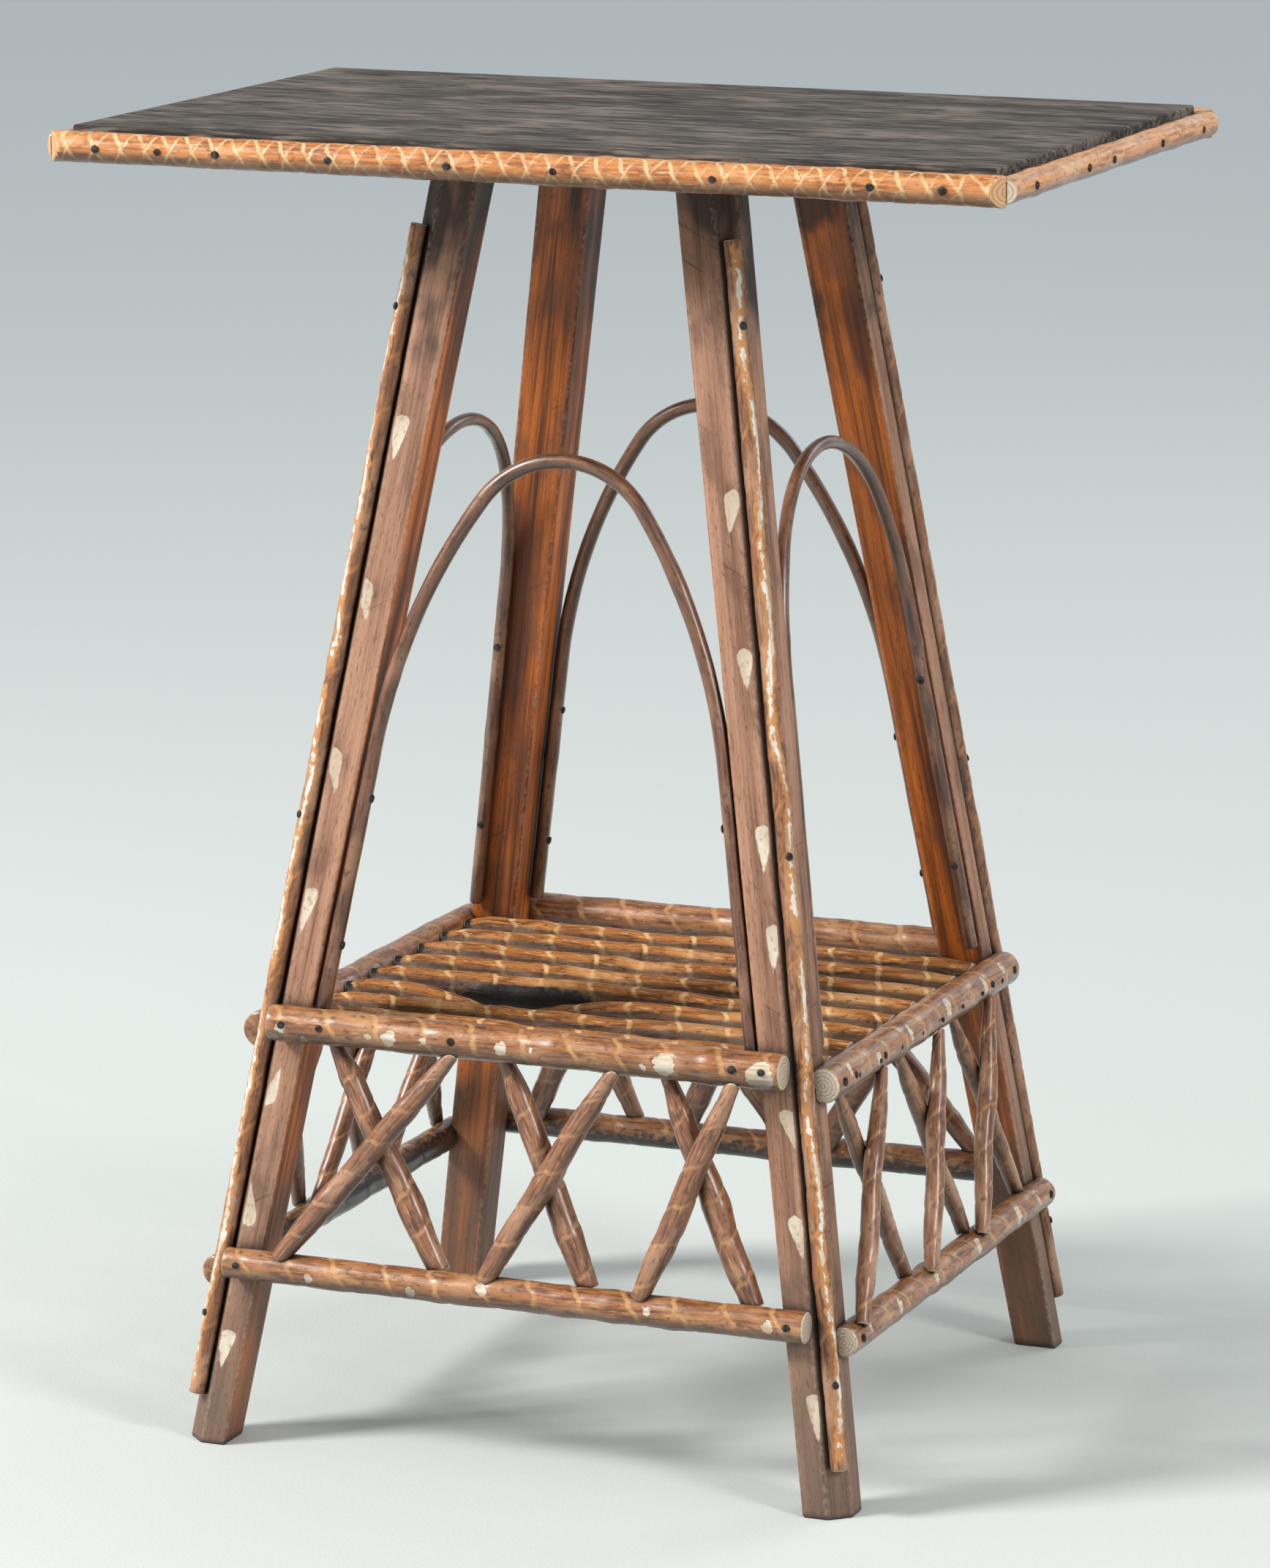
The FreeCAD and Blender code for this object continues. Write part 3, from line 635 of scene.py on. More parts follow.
class BarkShader(Shader):
    """The material of one bark, which reads the attributes grain and marks."""

    def __init__(self, bark: BarkFinish) -> None:
        """Add the attributes and noises that the colours are mixed by.

        Args:
            bark: Colours and cuts of the bark.
        """
        super().__init__(bark.name)
        self.bark = bark
        self.place = self.parts("grain")
        # The third part of marks holds the corner twigs' pale strips and the patches of painted shade.
        self.blaze, self.cut_end, self.strip_and_shade = self.parts("marks")
        self.streak = self.noise(self.place, (2.0, 2.0, 24.0), 5.0)
        self.blotch = self.noise(self.place, (11.0, 11.0, 34.0))
        self.mottle = self.noise(self.place, (3.0, 3.0, 4.6))
        self.fine = self.noise(self.place, (0.7, 0.7, 2.6))
        self.flake = self.noise(self.place, (1.1, 1.1, 9.0), 2.0)
        self.rough_edge = self.noise(self.place, (2.2, 2.2, 2.6))

    def build(self) -> Material:
        """Mix the colours and wire the surface.

        Returns:
            The finished material.
        """
        colour, carved = self.carve(self.plain())
        colour, bared = self.bare(colour)
        gloss = self.bark.gloss
        roughness = self.ramp(self.blotch, 0.3, 0.7, gloss + 0.12, gloss - 0.06)
        roughness = self.math("MULTIPLY_ADD", self.math("MAXIMUM", carved, bared), 0.16, roughness)
        height = self.streak
        for relief, share in ((self.fine, 0.4), (self.mottle, 0.5), (carved, 0.5)):
            height = self.math("MULTIPLY_ADD", relief, share, height)
        self.fix({"Coat Weight": self.bark.film, "Coat Roughness": 0.26})
        self.fix({"Specular IOR Level": self.bark.shine})
        return self.finish(self.end_rings_and_shade(colour), roughness, height, 0.4)

    def plain(self) -> Value:
        """Colour the uncut bark.

        Returns:
            Streaks with paler bloom, dark mottle and small flakes.
        """
        bark = self.bark
        colour = self.lay(bark.dark, bark.middle, self.streak, 0.3, 0.6)
        colour = self.lay(colour, bark.bloom, self.blotch, 0.46, 0.66, 0.0, 0.7)
        colour = self.lay(colour, bark.dark, self.mottle, 0.56, 0.7, 0.0, 0.75)
        colour = self.lay(colour, bark.stripe, self.flake, 0.6, 0.7, 0.0, 0.5)
        return self.lay(colour, bark.dark, self.flake, 0.3, 0.4, 0.45, 0.0)

    def carve(self, colour: Value) -> tuple[Value, Value]:
        """Cut the stripes and lay the pale strips, partly peeled bark and partly painted highlight.

        Args:
            colour: The uncut bark.

        Returns:
            The new colour, and the share of cut bark.
        """
        bark = self.bark
        carved = 0.0
        if bark.carving is not Carving.SMOOTH:
            carved = self.stripes()
            tint = self.lay(bark.stripe, bark.middle, self.fine, 0.3, 0.7, 0.0, 0.45)
            colour = self.mix(carved, colour, tint)
        if bark.carving is Carving.STRIPS:
            # Pale strips, partly peeled bark and partly painted highlight.
            strip_reach = self.around(self.mottle, 6.0, self.strip_and_shade)
            colour = self.lay(colour, bark.stripe, strip_reach, -2.4, -0.8, 0.0, 0.85)
            peeled = self.ramp(strip_reach, -0.1, 0.3)
            colour = self.mix(peeled, colour, self.lay(bark.heartwood, bark.pale, self.streak, 0.3, 0.6))
            carved = self.math("MAXIMUM", carved, peeled)
        return colour, carved

    def bare(self, colour: Value) -> tuple[Value, Value]:
        """Bare the wood of the blazes, with a dark rim.

        Args:
            colour: The carved bark.

        Returns:
            The new colour, and the share of bared wood.
        """
        bark = self.bark
        ragged = self.around(self.rough_edge, 3.0, self.blaze)
        ragged = self.around(self.mottle, 4.0, ragged)
        bared = self.ramp(ragged, -0.2, 0.5)
        rim = self.math("SUBTRACT", self.ramp(ragged, -1.0, -0.1), bared)
        colour = self.mix(self.math("MULTIPLY", rim, 0.45), colour, bark.dark)
        wood = self.lay(bark.heartwood, bark.pale, self.streak, 0.3, 0.7)
        return self.mix(bared, colour, wood), bared

    def end_rings_and_shade(self, colour: Value) -> Value:
        """Show the rings of the cut ends, and paint shade underneath, in crevices and in the marked
        patches.

        Args:
            colour: The bark with its cuts and blazes.

        Returns:
            The finished colour.
        """
        bark = self.bark
        across, aside, _ = self.place
        squares = self.math("MULTIPLY_ADD", across, across, self.math("MULTIPLY", aside, aside))
        ripple = self.math("MULTIPLY_ADD", self.math("SQRT", squares), 3.1, self.blotch)
        rings = self.math("SINE", ripple)
        end_grain = self.lay(bark.heartwood, bark.pale, rings, -1.0, 1.0, 0.2, 1.0)
        end_grain = self.lay(end_grain, bark.middle, self.fine, 0.45, 0.75, 0.0, 0.7)
        colour = self.lay(colour, end_grain, self.cut_end, 0.3, 0.75)
        # Painted shade in the marked patches of the rails and shelf twigs.
        if bark.carving is Carving.SPIRAL:
            shade_patch = self.around(self.mottle, 5.0, self.strip_and_shade)
            colour = self.lay(colour, bark.shadow_colour, shade_patch, -0.8, 1.2)
        # Painted shade on faces that turn down.
        colour = self.lay(colour, bark.shadow_colour, self.upward(), *bark.underside_shade, 0.8, 0.0)
        # Painted shade in crevices.
        colour = self.shade_crevices(colour, bark.shadow_colour, 14.0)
        # Cut ends keep half of their pale end grain over the painted shade.
        return self.lay(colour, end_grain, self.cut_end, 0.3, 0.75, 0.0, 0.5)

    def stripes(self) -> Value:
        """Mask of the carved stripes.

        Returns:
            A socket from 0 on the bark to 1 in a cut.
        """
        bark = self.bark
        across, aside, _ = self.place
        angle = self.math("DIVIDE", self.math("ARCTAN2", aside, across), TURN)
        faded = self.noise(self.place, (6.0, 6.0, 9.0), 1.0)
        strength = self.ramp(faded, 0.36, 0.56, 0.35, bark.stripe_strength)
        cut = self.math("MULTIPLY", self.helix(angle, bark.stripe_width), strength)
        if bark.carving is Carving.NET:
            cross = self.helix(self.math("MULTIPLY", angle, -1.0), bark.cross_width)
            worn = self.ramp(faded, 0.4, 0.62, bark.stripe_strength, 0.2)
            cut = self.math("MAXIMUM", cut, self.math("MULTIPLY", cross, worn))
        return cut

    def helix(self, angle: Value, width: float) -> Value:
        """Mask of one line that winds round the twig.

        Args:
            angle: Turn round the twig, negated for the other hand.
            width: Width of the line.

        Returns:
            One on the line, nought between its turns.
        """
        pitch = self.bark.pitch
        fray = self.math("MULTIPLY", self.math("SUBTRACT", self.rough_edge, 0.5), 2.2 / pitch)
        fray = self.around(self.noise(self.place, (9.0, 9.0, 60.0), 1.0), 0.4, fray)
        wound = self.math("MULTIPLY_ADD", angle, -float(self.bark.starts), fray)
        turns = self.math("ADD", self.math("DIVIDE", self.place[2], pitch), wound)
        within = self.math("SUBTRACT", self.math("FRACT", turns), 0.5)
        distance = self.math("MULTIPLY", self.math("ABSOLUTE", within), pitch)
        return self.ramp(distance, width * 0.2, width * 0.65, 1.0, 0.0)


@dataclass(frozen=True)
class TimberFinish:
    """Sawn and stained timber with worn corners and pale chips."""

    name: str
    outer_dark: Colour
    outer_light: Colour
    inner_dark: Colour
    inner_light: Colour
    pale: Colour = shade(224, 211, 192)
    chip_shadow: Colour = shade(184, 158, 134)
    foot: Colour = shade(98, 84, 72)
    # Colour of the painted shade on the leg heads, in the corner groove and in crevices.
    shadow_colour: Colour = shade(24, 16, 12)
    scuffed_foot: tuple[float, float] = (0.0, 260.0)
    # Heights over which the leg heads darken, painted as the board's shadow.
    shaded_head: tuple[float, float] = (618.0, 700.0)

    @cache
    def material(self) -> Material:
        """Build the timber material, once.

        Returns:
            A material that reads the attributes grain, marks and wear.
        """
        shader = Shader(self.name)
        place = shader.parts("grain")
        across, aside, along = place
        chip, cut_end, inner = shader.parts("marks")
        # The first part of wear marks the chamfer's groove under the corner twig for painted shade.
        shaded_groove, _, worn = shader.parts("wear")
        streak = shader.noise(place, (1.5, 1.5, 70.0), 5.0)
        broad = shader.noise(place, (7.0, 7.0, 160.0))
        fine = shader.noise(place, (0.5, 0.5, 9.0))
        smudge = shader.noise(place, (20.0, 20.0, 42.0))
        fray = shader.noise(place, (2.0, 2.0, 3.0))
        pores = shader.noise(place, (0.8, 0.8, 5.0), 2.0)
        shadowed = shader.noise(place, (34.0, 34.0, 130.0), 2.0)

        figure = shader.around(streak, 0.55, broad)
        outer = shader.lay(self.outer_dark, self.outer_light, figure, 0.1, 0.7)
        inside = shader.lay(self.inner_dark, self.inner_light, figure, 0.2, 0.78)
        inside = shader.lay(inside, self.inner_dark, shadowed, 0.46, 0.64, 0.0, 0.8)
        colour = shader.mix(inner, outer, inside)
        colour = shader.lay(colour, self.outer_dark, smudge, 0.5, 0.7, 0.0, 0.55)
        level = shader.around(smudge, -300.0, shader.object_parts()[2])
        colour = shader.lay(colour, self.foot, level, *self.scuffed_foot, 0.7, 0.0)
        # Painted shadow of the board on the leg heads.
        colour = shader.lay(colour, self.shadow_colour, level, *self.shaded_head, 0.0, 0.88)
        colour = shader.lay(colour, self.inner_dark, pores, 0.56, 0.7, 0.0, 0.5)
        # Painted shade in the groove under the corner twig.
        colour = shader.mix(shader.math("MULTIPLY", shaded_groove, 0.85), colour, self.shadow_colour)
        slope = shader.math("MULTIPLY_ADD", across, 0.55, along)
        saw = shader.noise((slope, smudge, aside), (2.6, 0.3, 60.0), 1.0)
        kept = shader.ramp(smudge, 0.48, 0.6, 0.0, 0.55)
        scored = shader.math("MULTIPLY", shader.ramp(saw, 0.66, 0.74), kept)
        colour = shader.mix(scored, colour, self.inner_dark)
        bright = shader.math("MULTIPLY", worn, shader.ramp(fray, 0.4, 0.65, 0.0, 0.3))
        colour = shader.mix(bright, colour, shader.mix(0.45, self.outer_light, self.pale))

        wood = shader.lay(self.chip_shadow, self.pale, smudge, 0.32, 0.6, 1.0, 0.35)
        wood = shader.lay(self.chip_shadow, wood, fray, 0.3, 0.5)
        colour = shader.lay(colour, wood, shader.around(fray, 1.1, chip), -0.3, 0.5)
        end_grain = shader.lay(self.outer_dark, self.chip_shadow, fine, 0.3, 0.7)
        colour = shader.mix(cut_end, colour, end_grain)
        # Painted shade in crevices.
        colour = shader.shade_crevices(colour, self.shadow_colour, 9.0)

        roughness = shader.ramp(figure, 0.2, 0.8, 0.62, 0.48)
        height = shader.math("MULTIPLY_ADD", fine, 0.5, streak)
        height = shader.math("MULTIPLY_ADD", scored, -0.5, height)
        return shader.finish(colour, roughness, height, 0.3)


@dataclass(frozen=True)
class BoardFinish:
    """Dark stained board with grain along X and rubbed patches."""

    name: str = "stained_board"
    dark: Colour = shade(46, 41, 37)
    middle: Colour = shade(103, 94, 87)
    rubbed: Colour = shade(147, 132, 120)
    shine: float = 0.3

    def material(self) -> Material:
        """Build the board material on object coordinates.

        Returns:
            The material.
        """
        shader = Shader(self.name)
        place = shader.object_parts()
        streak = shader.noise(place, (90.0, 1.8, 4.0), 5.0)
        broad = shader.noise(place, (260.0, 22.0, 20.0), 3.0)
        dash = shader.noise(place, (30.0, 5.0, 3.0), 2.0)
        fine = shader.noise(place, (9.0, 0.5, 2.0))
        cloud = shader.noise(place, (60.0, 30.0, 20.0))
        figure = shader.around(broad, 0.8, streak)
        colour = shader.lay(self.dark, self.middle, figure, 0.3, 0.66)
        colour = shader.lay(colour, self.rubbed, cloud, 0.48, 0.7, 0.0, 0.6)
        colour = shader.lay(colour, self.dark, dash, 0.54, 0.62, 0.0, 0.9)
        colour = shader.lay(colour, self.rubbed, dash, 0.34, 0.44, 0.5, 0.0)
        colour = shader.lay(colour, self.dark, fine, 0.56, 0.74, 0.0, 0.5)
        roughness = shader.ramp(cloud, 0.3, 0.7, 0.8, 0.66)
        height = shader.math("MULTIPLY_ADD", fine, 0.6, streak)
        shader.fix({"Specular IOR Level": self.shine})
        return shader.finish(colour, roughness, height, 0.16)


@dataclass(frozen=True)
class NailFinish:
    """Dull, slightly rusted steel."""

    name: str = "dull_nail"
    steel: Colour = shade(66, 64, 64)
    rust: Colour = shade(38, 29, 25)

    def material(self) -> Material:
        """Build the nail material on object coordinates.

        Returns:
            The material.
        """
        shader = Shader(self.name)
        patch = shader.noise(shader.object_parts(), (2.2, 2.2, 2.2))
        colour = shader.lay(self.steel, self.rust, patch, 0.4, 0.62)
        shader.fix({"Metallic": 0.5})
        return shader.finish(colour, shader.ramp(patch, 0.3, 0.7, 0.55, 0.8), patch, 0.15)


@dataclass(frozen=True)
class FloorFinish:
    """Pale studio paper, painted brighter and cooler towards the back as light on the far backdrop."""

    name: str = "studio_paper"
    near: Colour = shade(219, 223, 218)
    far: Colour = shade(251, 254, 254)

    def material(self) -> Material:
        """Build the floor material on object coordinates.

        Returns:
            The material.
        """
        shader = Shader(self.name)
        place = shader.object_parts()
        depth = shader.math("MULTIPLY_ADD", place[0], -0.38, place[1])
        grain = shader.noise(place, (2.0, 2.0, 2.0))
        # Painted light: the paper brightens towards the back.
        colour = shader.lay(self.near, self.far, depth, -900.0, 7000.0)
        colour = shader.lay(colour, self.far, grain, 0.3, 0.7, 0.0, 0.12)
        return shader.finish(colour, shader.ramp(grain, 0.3, 0.7, 0.8, 0.9), grain, 0.2)


RAIL_BARK = BarkFinish(
    "rail_bark", shade(94, 52, 26), shade(170, 106, 56), shade(204, 148, 100), shade(232, 178, 114),
    stripe_strength=0.7, film=0.9,
)
# The shelf twigs get painted shade on all but their upper faces, as between the rows.
SHELF_BARK = BarkFinish(
    "shelf_bark", shade(94, 54, 25), shade(186, 118, 60), shade(214, 158, 104), shade(248, 208, 150),
    underside_shade=(0.56, 0.84), gloss=0.52, film=0.0, shine=0.3,
)
LATTICE_BARK = BarkFinish(
    "lattice_bark", shade(90, 51, 31), shade(158, 100, 62), shade(204, 154, 118), shade(228, 170, 114),
    pitch=24.0, stripe_width=2.8, stripe_strength=0.55, film=1.0,
)
# The pale colour here is that of the strips: partly peeled wood, partly painted highlight.
CORNER_BARK = BarkFinish(
    "corner_bark", shade(84, 48, 28), shade(156, 98, 58), shade(200, 156, 124), shade(214, 146, 82),
    Carving.STRIPS, stripe_strength=0.5, pale=shade(244, 238, 228),
)
NETTED_BARK = BarkFinish(
    "netted_bark", shade(140, 74, 28), shade(212, 132, 64), shade(228, 160, 98), shade(248, 216, 164),
    Carving.NET, pitch=14.0, starts=2, stripe_width=2.6,
    pale=shade(232, 192, 144), heartwood=shade(200, 136, 80),
)
PLAIN_BAND_BARK = BarkFinish(
    "plain_band_bark", shade(166, 98, 48), shade(238, 165, 104), shade(244, 192, 146), shade(246, 204, 152),
    pitch=34.0, stripe_width=2.0, stripe_strength=0.35,
)
BENT_SHOOT = BarkFinish(
    "bent_shoot", shade(70, 38, 22), shade(126, 80, 52), shade(168, 122, 92), shade(150, 100, 70),
    Carving.SMOOTH, gloss=0.36, film=0.9,
)
LEG_TIMBER = TimberFinish(
    "leg_timber", shade(98, 60, 40), shade(186, 138, 110), shade(76, 33, 6), shade(224, 120, 32)
)
BATTEN_TIMBER = TimberFinish(
    "batten_timber", shade(104, 70, 48), shade(156, 112, 80), shade(104, 70, 48), shade(160, 116, 82)
)


class TreeMaker(NodeTree):
    """A Geometry Nodes tree with named inputs."""

    def __init__(self, name: str, inputs: dict[str, str]) -> None:
        """Start a Geometry Nodes tree.

        Args:
            name: Name of the tree.
            inputs: Socket type of each named input after the geometry.
        """
        super().__init__(bpy.data.node_groups.new(name, "GeometryNodeTree"))
        face = self.tree.interface
        face.new_socket("Geometry", in_out="INPUT", socket_type="NodeSocketGeometry")
        face.new_socket("Geometry", in_out="OUTPUT", socket_type="NodeSocketGeometry")
        self.keys = {
            label: face.new_socket(label, in_out="INPUT", socket_type=kind).identifier
            for label, kind in inputs.items()
        }
        self.entry = self.tree.nodes.new("NodeGroupInput")
        self.exit = self.tree.nodes.new("NodeGroupOutput")

    def close(self, geometry: Socket) -> None:
        """End the tree with real geometry in one material.

        Args:
            geometry: What the tree has made.
        """
        real = self.node("GeometryNodeRealizeInstances", {"Geometry": geometry})
        inputs = {"Geometry": real.outputs[0], "Material": self.entry.outputs["Material"]}
        dressed = self.node("GeometryNodeSetMaterial", inputs)
        self.tree.links.new(dressed.outputs[0], self.exit.inputs[0])

    def run(self, source: Mesh, values: dict[str, object]) -> Mesh:
        """Run the tree over a mesh.

        Args:
            source: Mesh that the tree starts from.
            values: Value of each named input.

        Returns:
            The result as a plain mesh.
        """
        carrier = bpy.data.objects.new("carrier", source)
        bpy.context.scene.collection.objects.link(carrier)
        modifier = carrier.modifiers.new("tree", "NODES")
        modifier.node_group = self.tree
        for label, value in values.items():
            modifier[self.keys[label]] = value
        graph = bpy.context.evaluated_depsgraph_get()
        result = bpy.data.meshes.new_from_object(carrier.evaluated_get(graph))
        carrier.modifiers.remove(modifier)
        bpy.data.objects.remove(carrier)
        bpy.data.meshes.remove(source)
        return result


def point_mesh(points: Array, attributes: dict[str, Array], chain: bool) -> Mesh:
    """Make a mesh of points for a tree to work on.

    Args:
        points: Places in millimetres.
        attributes: Named numbers or vectors, one to a point.
        chain: Whether the points are joined into one line.

    Returns:
        The mesh, in metres.
    """
    mesh = bpy.data.meshes.new("points")
    edges = [(index, index + 1) for index in range(len(points) - 1)] if chain else []
    mesh.from_pydata((points * MILLIMETRE).tolist(), edges, [])
    for name, values in attributes.items():
        write_attribute(mesh, name, values)
    return mesh


def write_attribute(mesh: Mesh, name: str, values: Array) -> None:
    """Store a number or a vector at each vertex of a mesh."""
    kind, key = ("FLOAT", "value") if values.ndim == 1 else ("FLOAT_VECTOR", "vector")
    mesh.attributes.new(name, kind, "POINT").data.foreach_set(key, values.astype(np.float32).ravel())


def make_piece(name: str, mesh: Mesh, nodes: tuple[str, ...], slot: str) -> None:
    """Put a finished mesh in the scene in place of its nodes.

    Args:
        name: Name of the piece.
        mesh: Finished mesh, in metres and in place.
        nodes: CAD nodes that the piece stands for.
        slot: Material slot of the record; not used.
    """
    mesh.name = name
    piece = bpy.data.objects.new(name, mesh)
    bpy.context.scene.collection.objects.link(piece)
    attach(piece, "root")
    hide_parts(*nodes)
    LOG.info("%s: %d faces in place of %s", name, len(mesh.polygons), ", ".join(nodes))


class TwigSweep(TreeMaker):
    """Runs a ring of bark along a line of points."""

    lumps_per_metre: ClassVar[float] = 130.0

    def __init__(self) -> None:
        """Build the tree."""
        kinds = {"Sides": "NodeSocketInt", "Relief": "NodeSocketFloat", "Lump": "NodeSocketFloat"}
        kinds |= {"Seed": "NodeSocketFloat", "Material": "NodeSocketMaterial"}
        super().__init__("twig_sweep", kinds)
        given = self.entry.outputs
        line = self.node("GeometryNodeMeshToCurve", {"Mesh": given["Geometry"]})
        inputs = {"Resolution": given["Sides"], "Radius": 1.0}
        ring = self.node("GeometryNodeCurvePrimitiveCircle", inputs)
        thickness = self.node("GeometryNodeInputNamedAttribute", {"Name": "thickness"}, data_type="FLOAT")
        inputs = {"Curve": line.outputs[0], "Profile Curve": ring.outputs[0], "Fill Caps": True}
        tube = self.node("GeometryNodeCurveToMesh", inputs | {"Scale": thickness.outputs[0]})
        noise_inputs = {"W": given["Seed"], "Scale": given["Lump"], "Detail": 2.0}
        noise = self.node("ShaderNodeTexNoise", noise_inputs, noise_dimensions="4D")
        centred = self.node("ShaderNodeMath", {0: noise.outputs[0], 1: 0.5}, operation="SUBTRACT")
        inputs = {0: centred.outputs[0], 1: given["Relief"]}
        amount = self.node("ShaderNodeMath", inputs, operation="MULTIPLY")
        normal = self.node("GeometryNodeInputNormal", {})
        push = {0: normal.outputs[0], "Scale": amount.outputs[0]}
        offset = self.node("ShaderNodeVectorMath", push, operation="SCALE")
        inputs = {"Geometry": tube.outputs[0], "Offset": offset.outputs[0]}
        bark = self.node("GeometryNodeSetPosition", inputs)
        smooth = self.node("GeometryNodeSetShadeSmooth", {"Geometry": bark.outputs[0]})
        self.close(smooth.outputs[0])

    def tube(self, twig: "Twig", path: Array, radii: Array) -> Mesh:
        """Sweep one twig.

        Args:
            twig: The twig, with the points of its ring, its relief, its seed and its bark.
            path: Middle line in millimetres.
            radii: Radius at each point, in millimetres.

        Returns:
            A closed tube, ring after ring.
        """
        source = point_mesh(path, {"thickness": radii * MILLIMETRE}, True)
        values = {"Sides": twig.sides, "Relief": twig.relief * MILLIMETRE, "Lump": self.lumps_per_metre}
        values |= {"Seed": float(twig.seed), "Material": twig.finish.material()}
        return self.run(source, values)


@cache
def twig_sweep() -> TwigSweep:
    """The tree that sweeps every twig, built once."""
    return TwigSweep()


@dataclass(frozen=True)
class Blaze:
    """A pale patch where the bark is cut away, placed by its share of the twig's length."""

    share: float
    turn: float
    half_length: float
    half_width: float
    depth: float = 0.5


@dataclass
class Twig:
    """A bark twig with rounded ends, knots, carved stripes and blazes."""

    name: str
    nodes: tuple[str, ...]
    slot: str
    finish: BarkFinish
    path: Array
    radius: float
    face: Array
    seed: int
    taper: float = 1.0
    sides: int = 28
    step: float = 2.4
    ease: float = 1.1
    crook: float = 0.7
    knots: int = 2
    relief: float = 0.5
    groove: float = 0.3
    fresh_ends: float = 1.0
    blazes: tuple[Blaze, ...] = ()
    swelling: ClassVar[float] = 0.025
    knot_height: ClassVar[float] = 0.055
    knot_length: ClassVar[float] = 5.0
    blaze_edge: ClassVar[float] = 1.2
    longest_trim: ClassVar[float] = 45.0
    shift_per_seed: ClassVar[float] = 17.0

    def stations(self) -> Array:
        """Space out the rings.

        Returns:
            Their distances along the twig, closer together at its rounded ends.
        """
        length = float(np.linalg.norm(np.diff(self.path, axis=0), axis=1).sum())
        near = self.ease * np.array([0.0, 0.25, 0.6])
        count = max(4, round((length - 2 * self.ease) / self.step))
        between = np.linspace(self.ease, length - self.ease, count)
        return np.concatenate([near, between, length - near[::-1]])

    def middle_line(self, stations: Array, draw: np.random.Generator) -> Array:
        """Run the middle line through the stations.

        Args:
            stations: Distances along the twig.
            draw: Source of its crook.

        Returns:
            Points with a slight natural crook that dies out at the ends.
        """
        runs = np.concatenate([[0.0], np.cumsum(np.linalg.norm(np.diff(self.path, axis=0), axis=1))])
        line = np.stack([np.interp(stations, runs, self.path[:, axis]) for axis in range(3)], axis=1)
        fade = np.sin(math.pi * stations / stations[-1])
        forward = unit(self.path[-1] - self.path[0])
        first = unit(self.face - forward * (self.face @ forward))
        second = np.cross(forward, first)
        lengths = (stations[-1] * 1.3, stations[-1] * 0.55, 70.0)
        for direction in (first, second):
            line += np.outer(waves(stations, lengths, draw) * fade * self.crook, direction)
        return line

    def radii(self, stations: Array, draw: np.random.Generator) -> Array:
        """Vary the thickness.

        Args:
            stations: Distances along the twig.
            draw: Source of its swelling and knots.

        Returns:
            Radius at each station: taper, gentle swelling, knots and rounded ends.
        """
        length = stations[-1]
        radii = self.radius * (1 + (self.taper - 1) * stations / length)
        radii *= 1 + self.swelling * waves(stations, (90.0, 41.0), draw) * (self.relief > 0)
        for place in draw.uniform(0.12, 0.88, self.knots):
            distance = (stations - place * length) / self.knot_length
            radii += self.knot_height * self.radius * np.exp(-(distance**2))
        inset = np.clip(np.minimum(stations, length - stations) / self.ease, 0.0, 1.0)
        return radii - self.ease * (1 - np.sqrt(1 - (1 - inset) ** 2))

    def trim(self, ring: Array, forward: Array, at_end: bool) -> Array:
        """How far the lines of an end ring move along the twig: none on a square-cut end."""
        return np.zeros(len(ring))

    def seat(self, points: Array) -> Array:
        """Flatten the twig where it lies on another piece: nothing on a round twig."""
        return points

    def bared(self, points: Array) -> Array:
        """Share of cut wood at each vertex besides the ends: none on a plain twig."""
        return np.zeros(points.shape[:2])

    def strip_and_shade(self, angle: Array, along: Array) -> Array:
        """Millimetres that each vertex lies inside a pale strip and inside painted shade: none on a plain
        twig.
        """
        return np.full_like(angle, FAR_OUTSIDE)

    def patch_reach(self, patch: Blaze, angle: Array, along: Array) -> Array:
        """Measure how far vertices lie inside a patch's outline.

        Args:
            patch: The patch.
            angle: Turn of each vertex round the middle line, from the face.
            along: Distance of each vertex along it.

        Returns:
            The distances in millimetres, below zero outside.
        """
        sideways = swing(angle, patch.turn) * self.radius / patch.half_width
        lengthways = (along - patch.share * along.max()) / patch.half_length
        return (1 - np.hypot(sideways, lengthways)) * min(patch.half_length, patch.half_width)

    def carve(self, out: Array, angle: Array, along: Array) -> tuple[Array, Array]:
        """Cut the stripes and blazes.

        Args:
            out: Distance of each vertex from the middle line.
            angle: Turn of each vertex round it, from the face.
            along: Distance of each vertex along it.

        Returns:
            The new distances, and how deep each vertex lies inside a blaze's outline.
        """
        out = out - self.groove * self.finish.groove(angle, along + self.seed * self.shift_per_seed)
        inside = np.full_like(out, OUTSIDE)
        for blaze in self.blazes:
            reach = self.patch_reach(blaze, angle, along)
            out = out - blaze.depth * np.clip(reach / self.blaze_edge + 0.3, 0.0, 1.0)
            inside = np.maximum(inside, reach)
        return out, inside

    def build(self) -> None:
        """Make the twig and put it in the scene."""
        draw = np.random.default_rng(self.seed)
        stations = self.stations()
        line = self.middle_line(stations, draw)
        radii = self.radii(stations, draw)
        mesh = twig_sweep().tube(self, line, radii)
        points = np.empty(len(mesh.vertices) * 3, np.float32)
        mesh.vertices.foreach_get("co", points)
        points = points.reshape(len(stations), self.sides, 3) / MILLIMETRE

        forward = unit(np.gradient(line, axis=0))
        first = unit(self.face - forward * (forward @ self.face)[:, None])
        second = np.cross(forward, first)
        spokes = points - line[:, None]
        across = np.einsum("ijk,ik->ij", spokes, first)
        aside = np.einsum("ijk,ik->ij", spokes, second)
        angle = np.arctan2(aside, across)
        along = np.repeat(stations[:, None], self.sides, axis=1)
        out, inside = self.carve(np.hypot(across, aside), angle, along)
        across, aside = out * np.cos(angle), out * np.sin(angle)

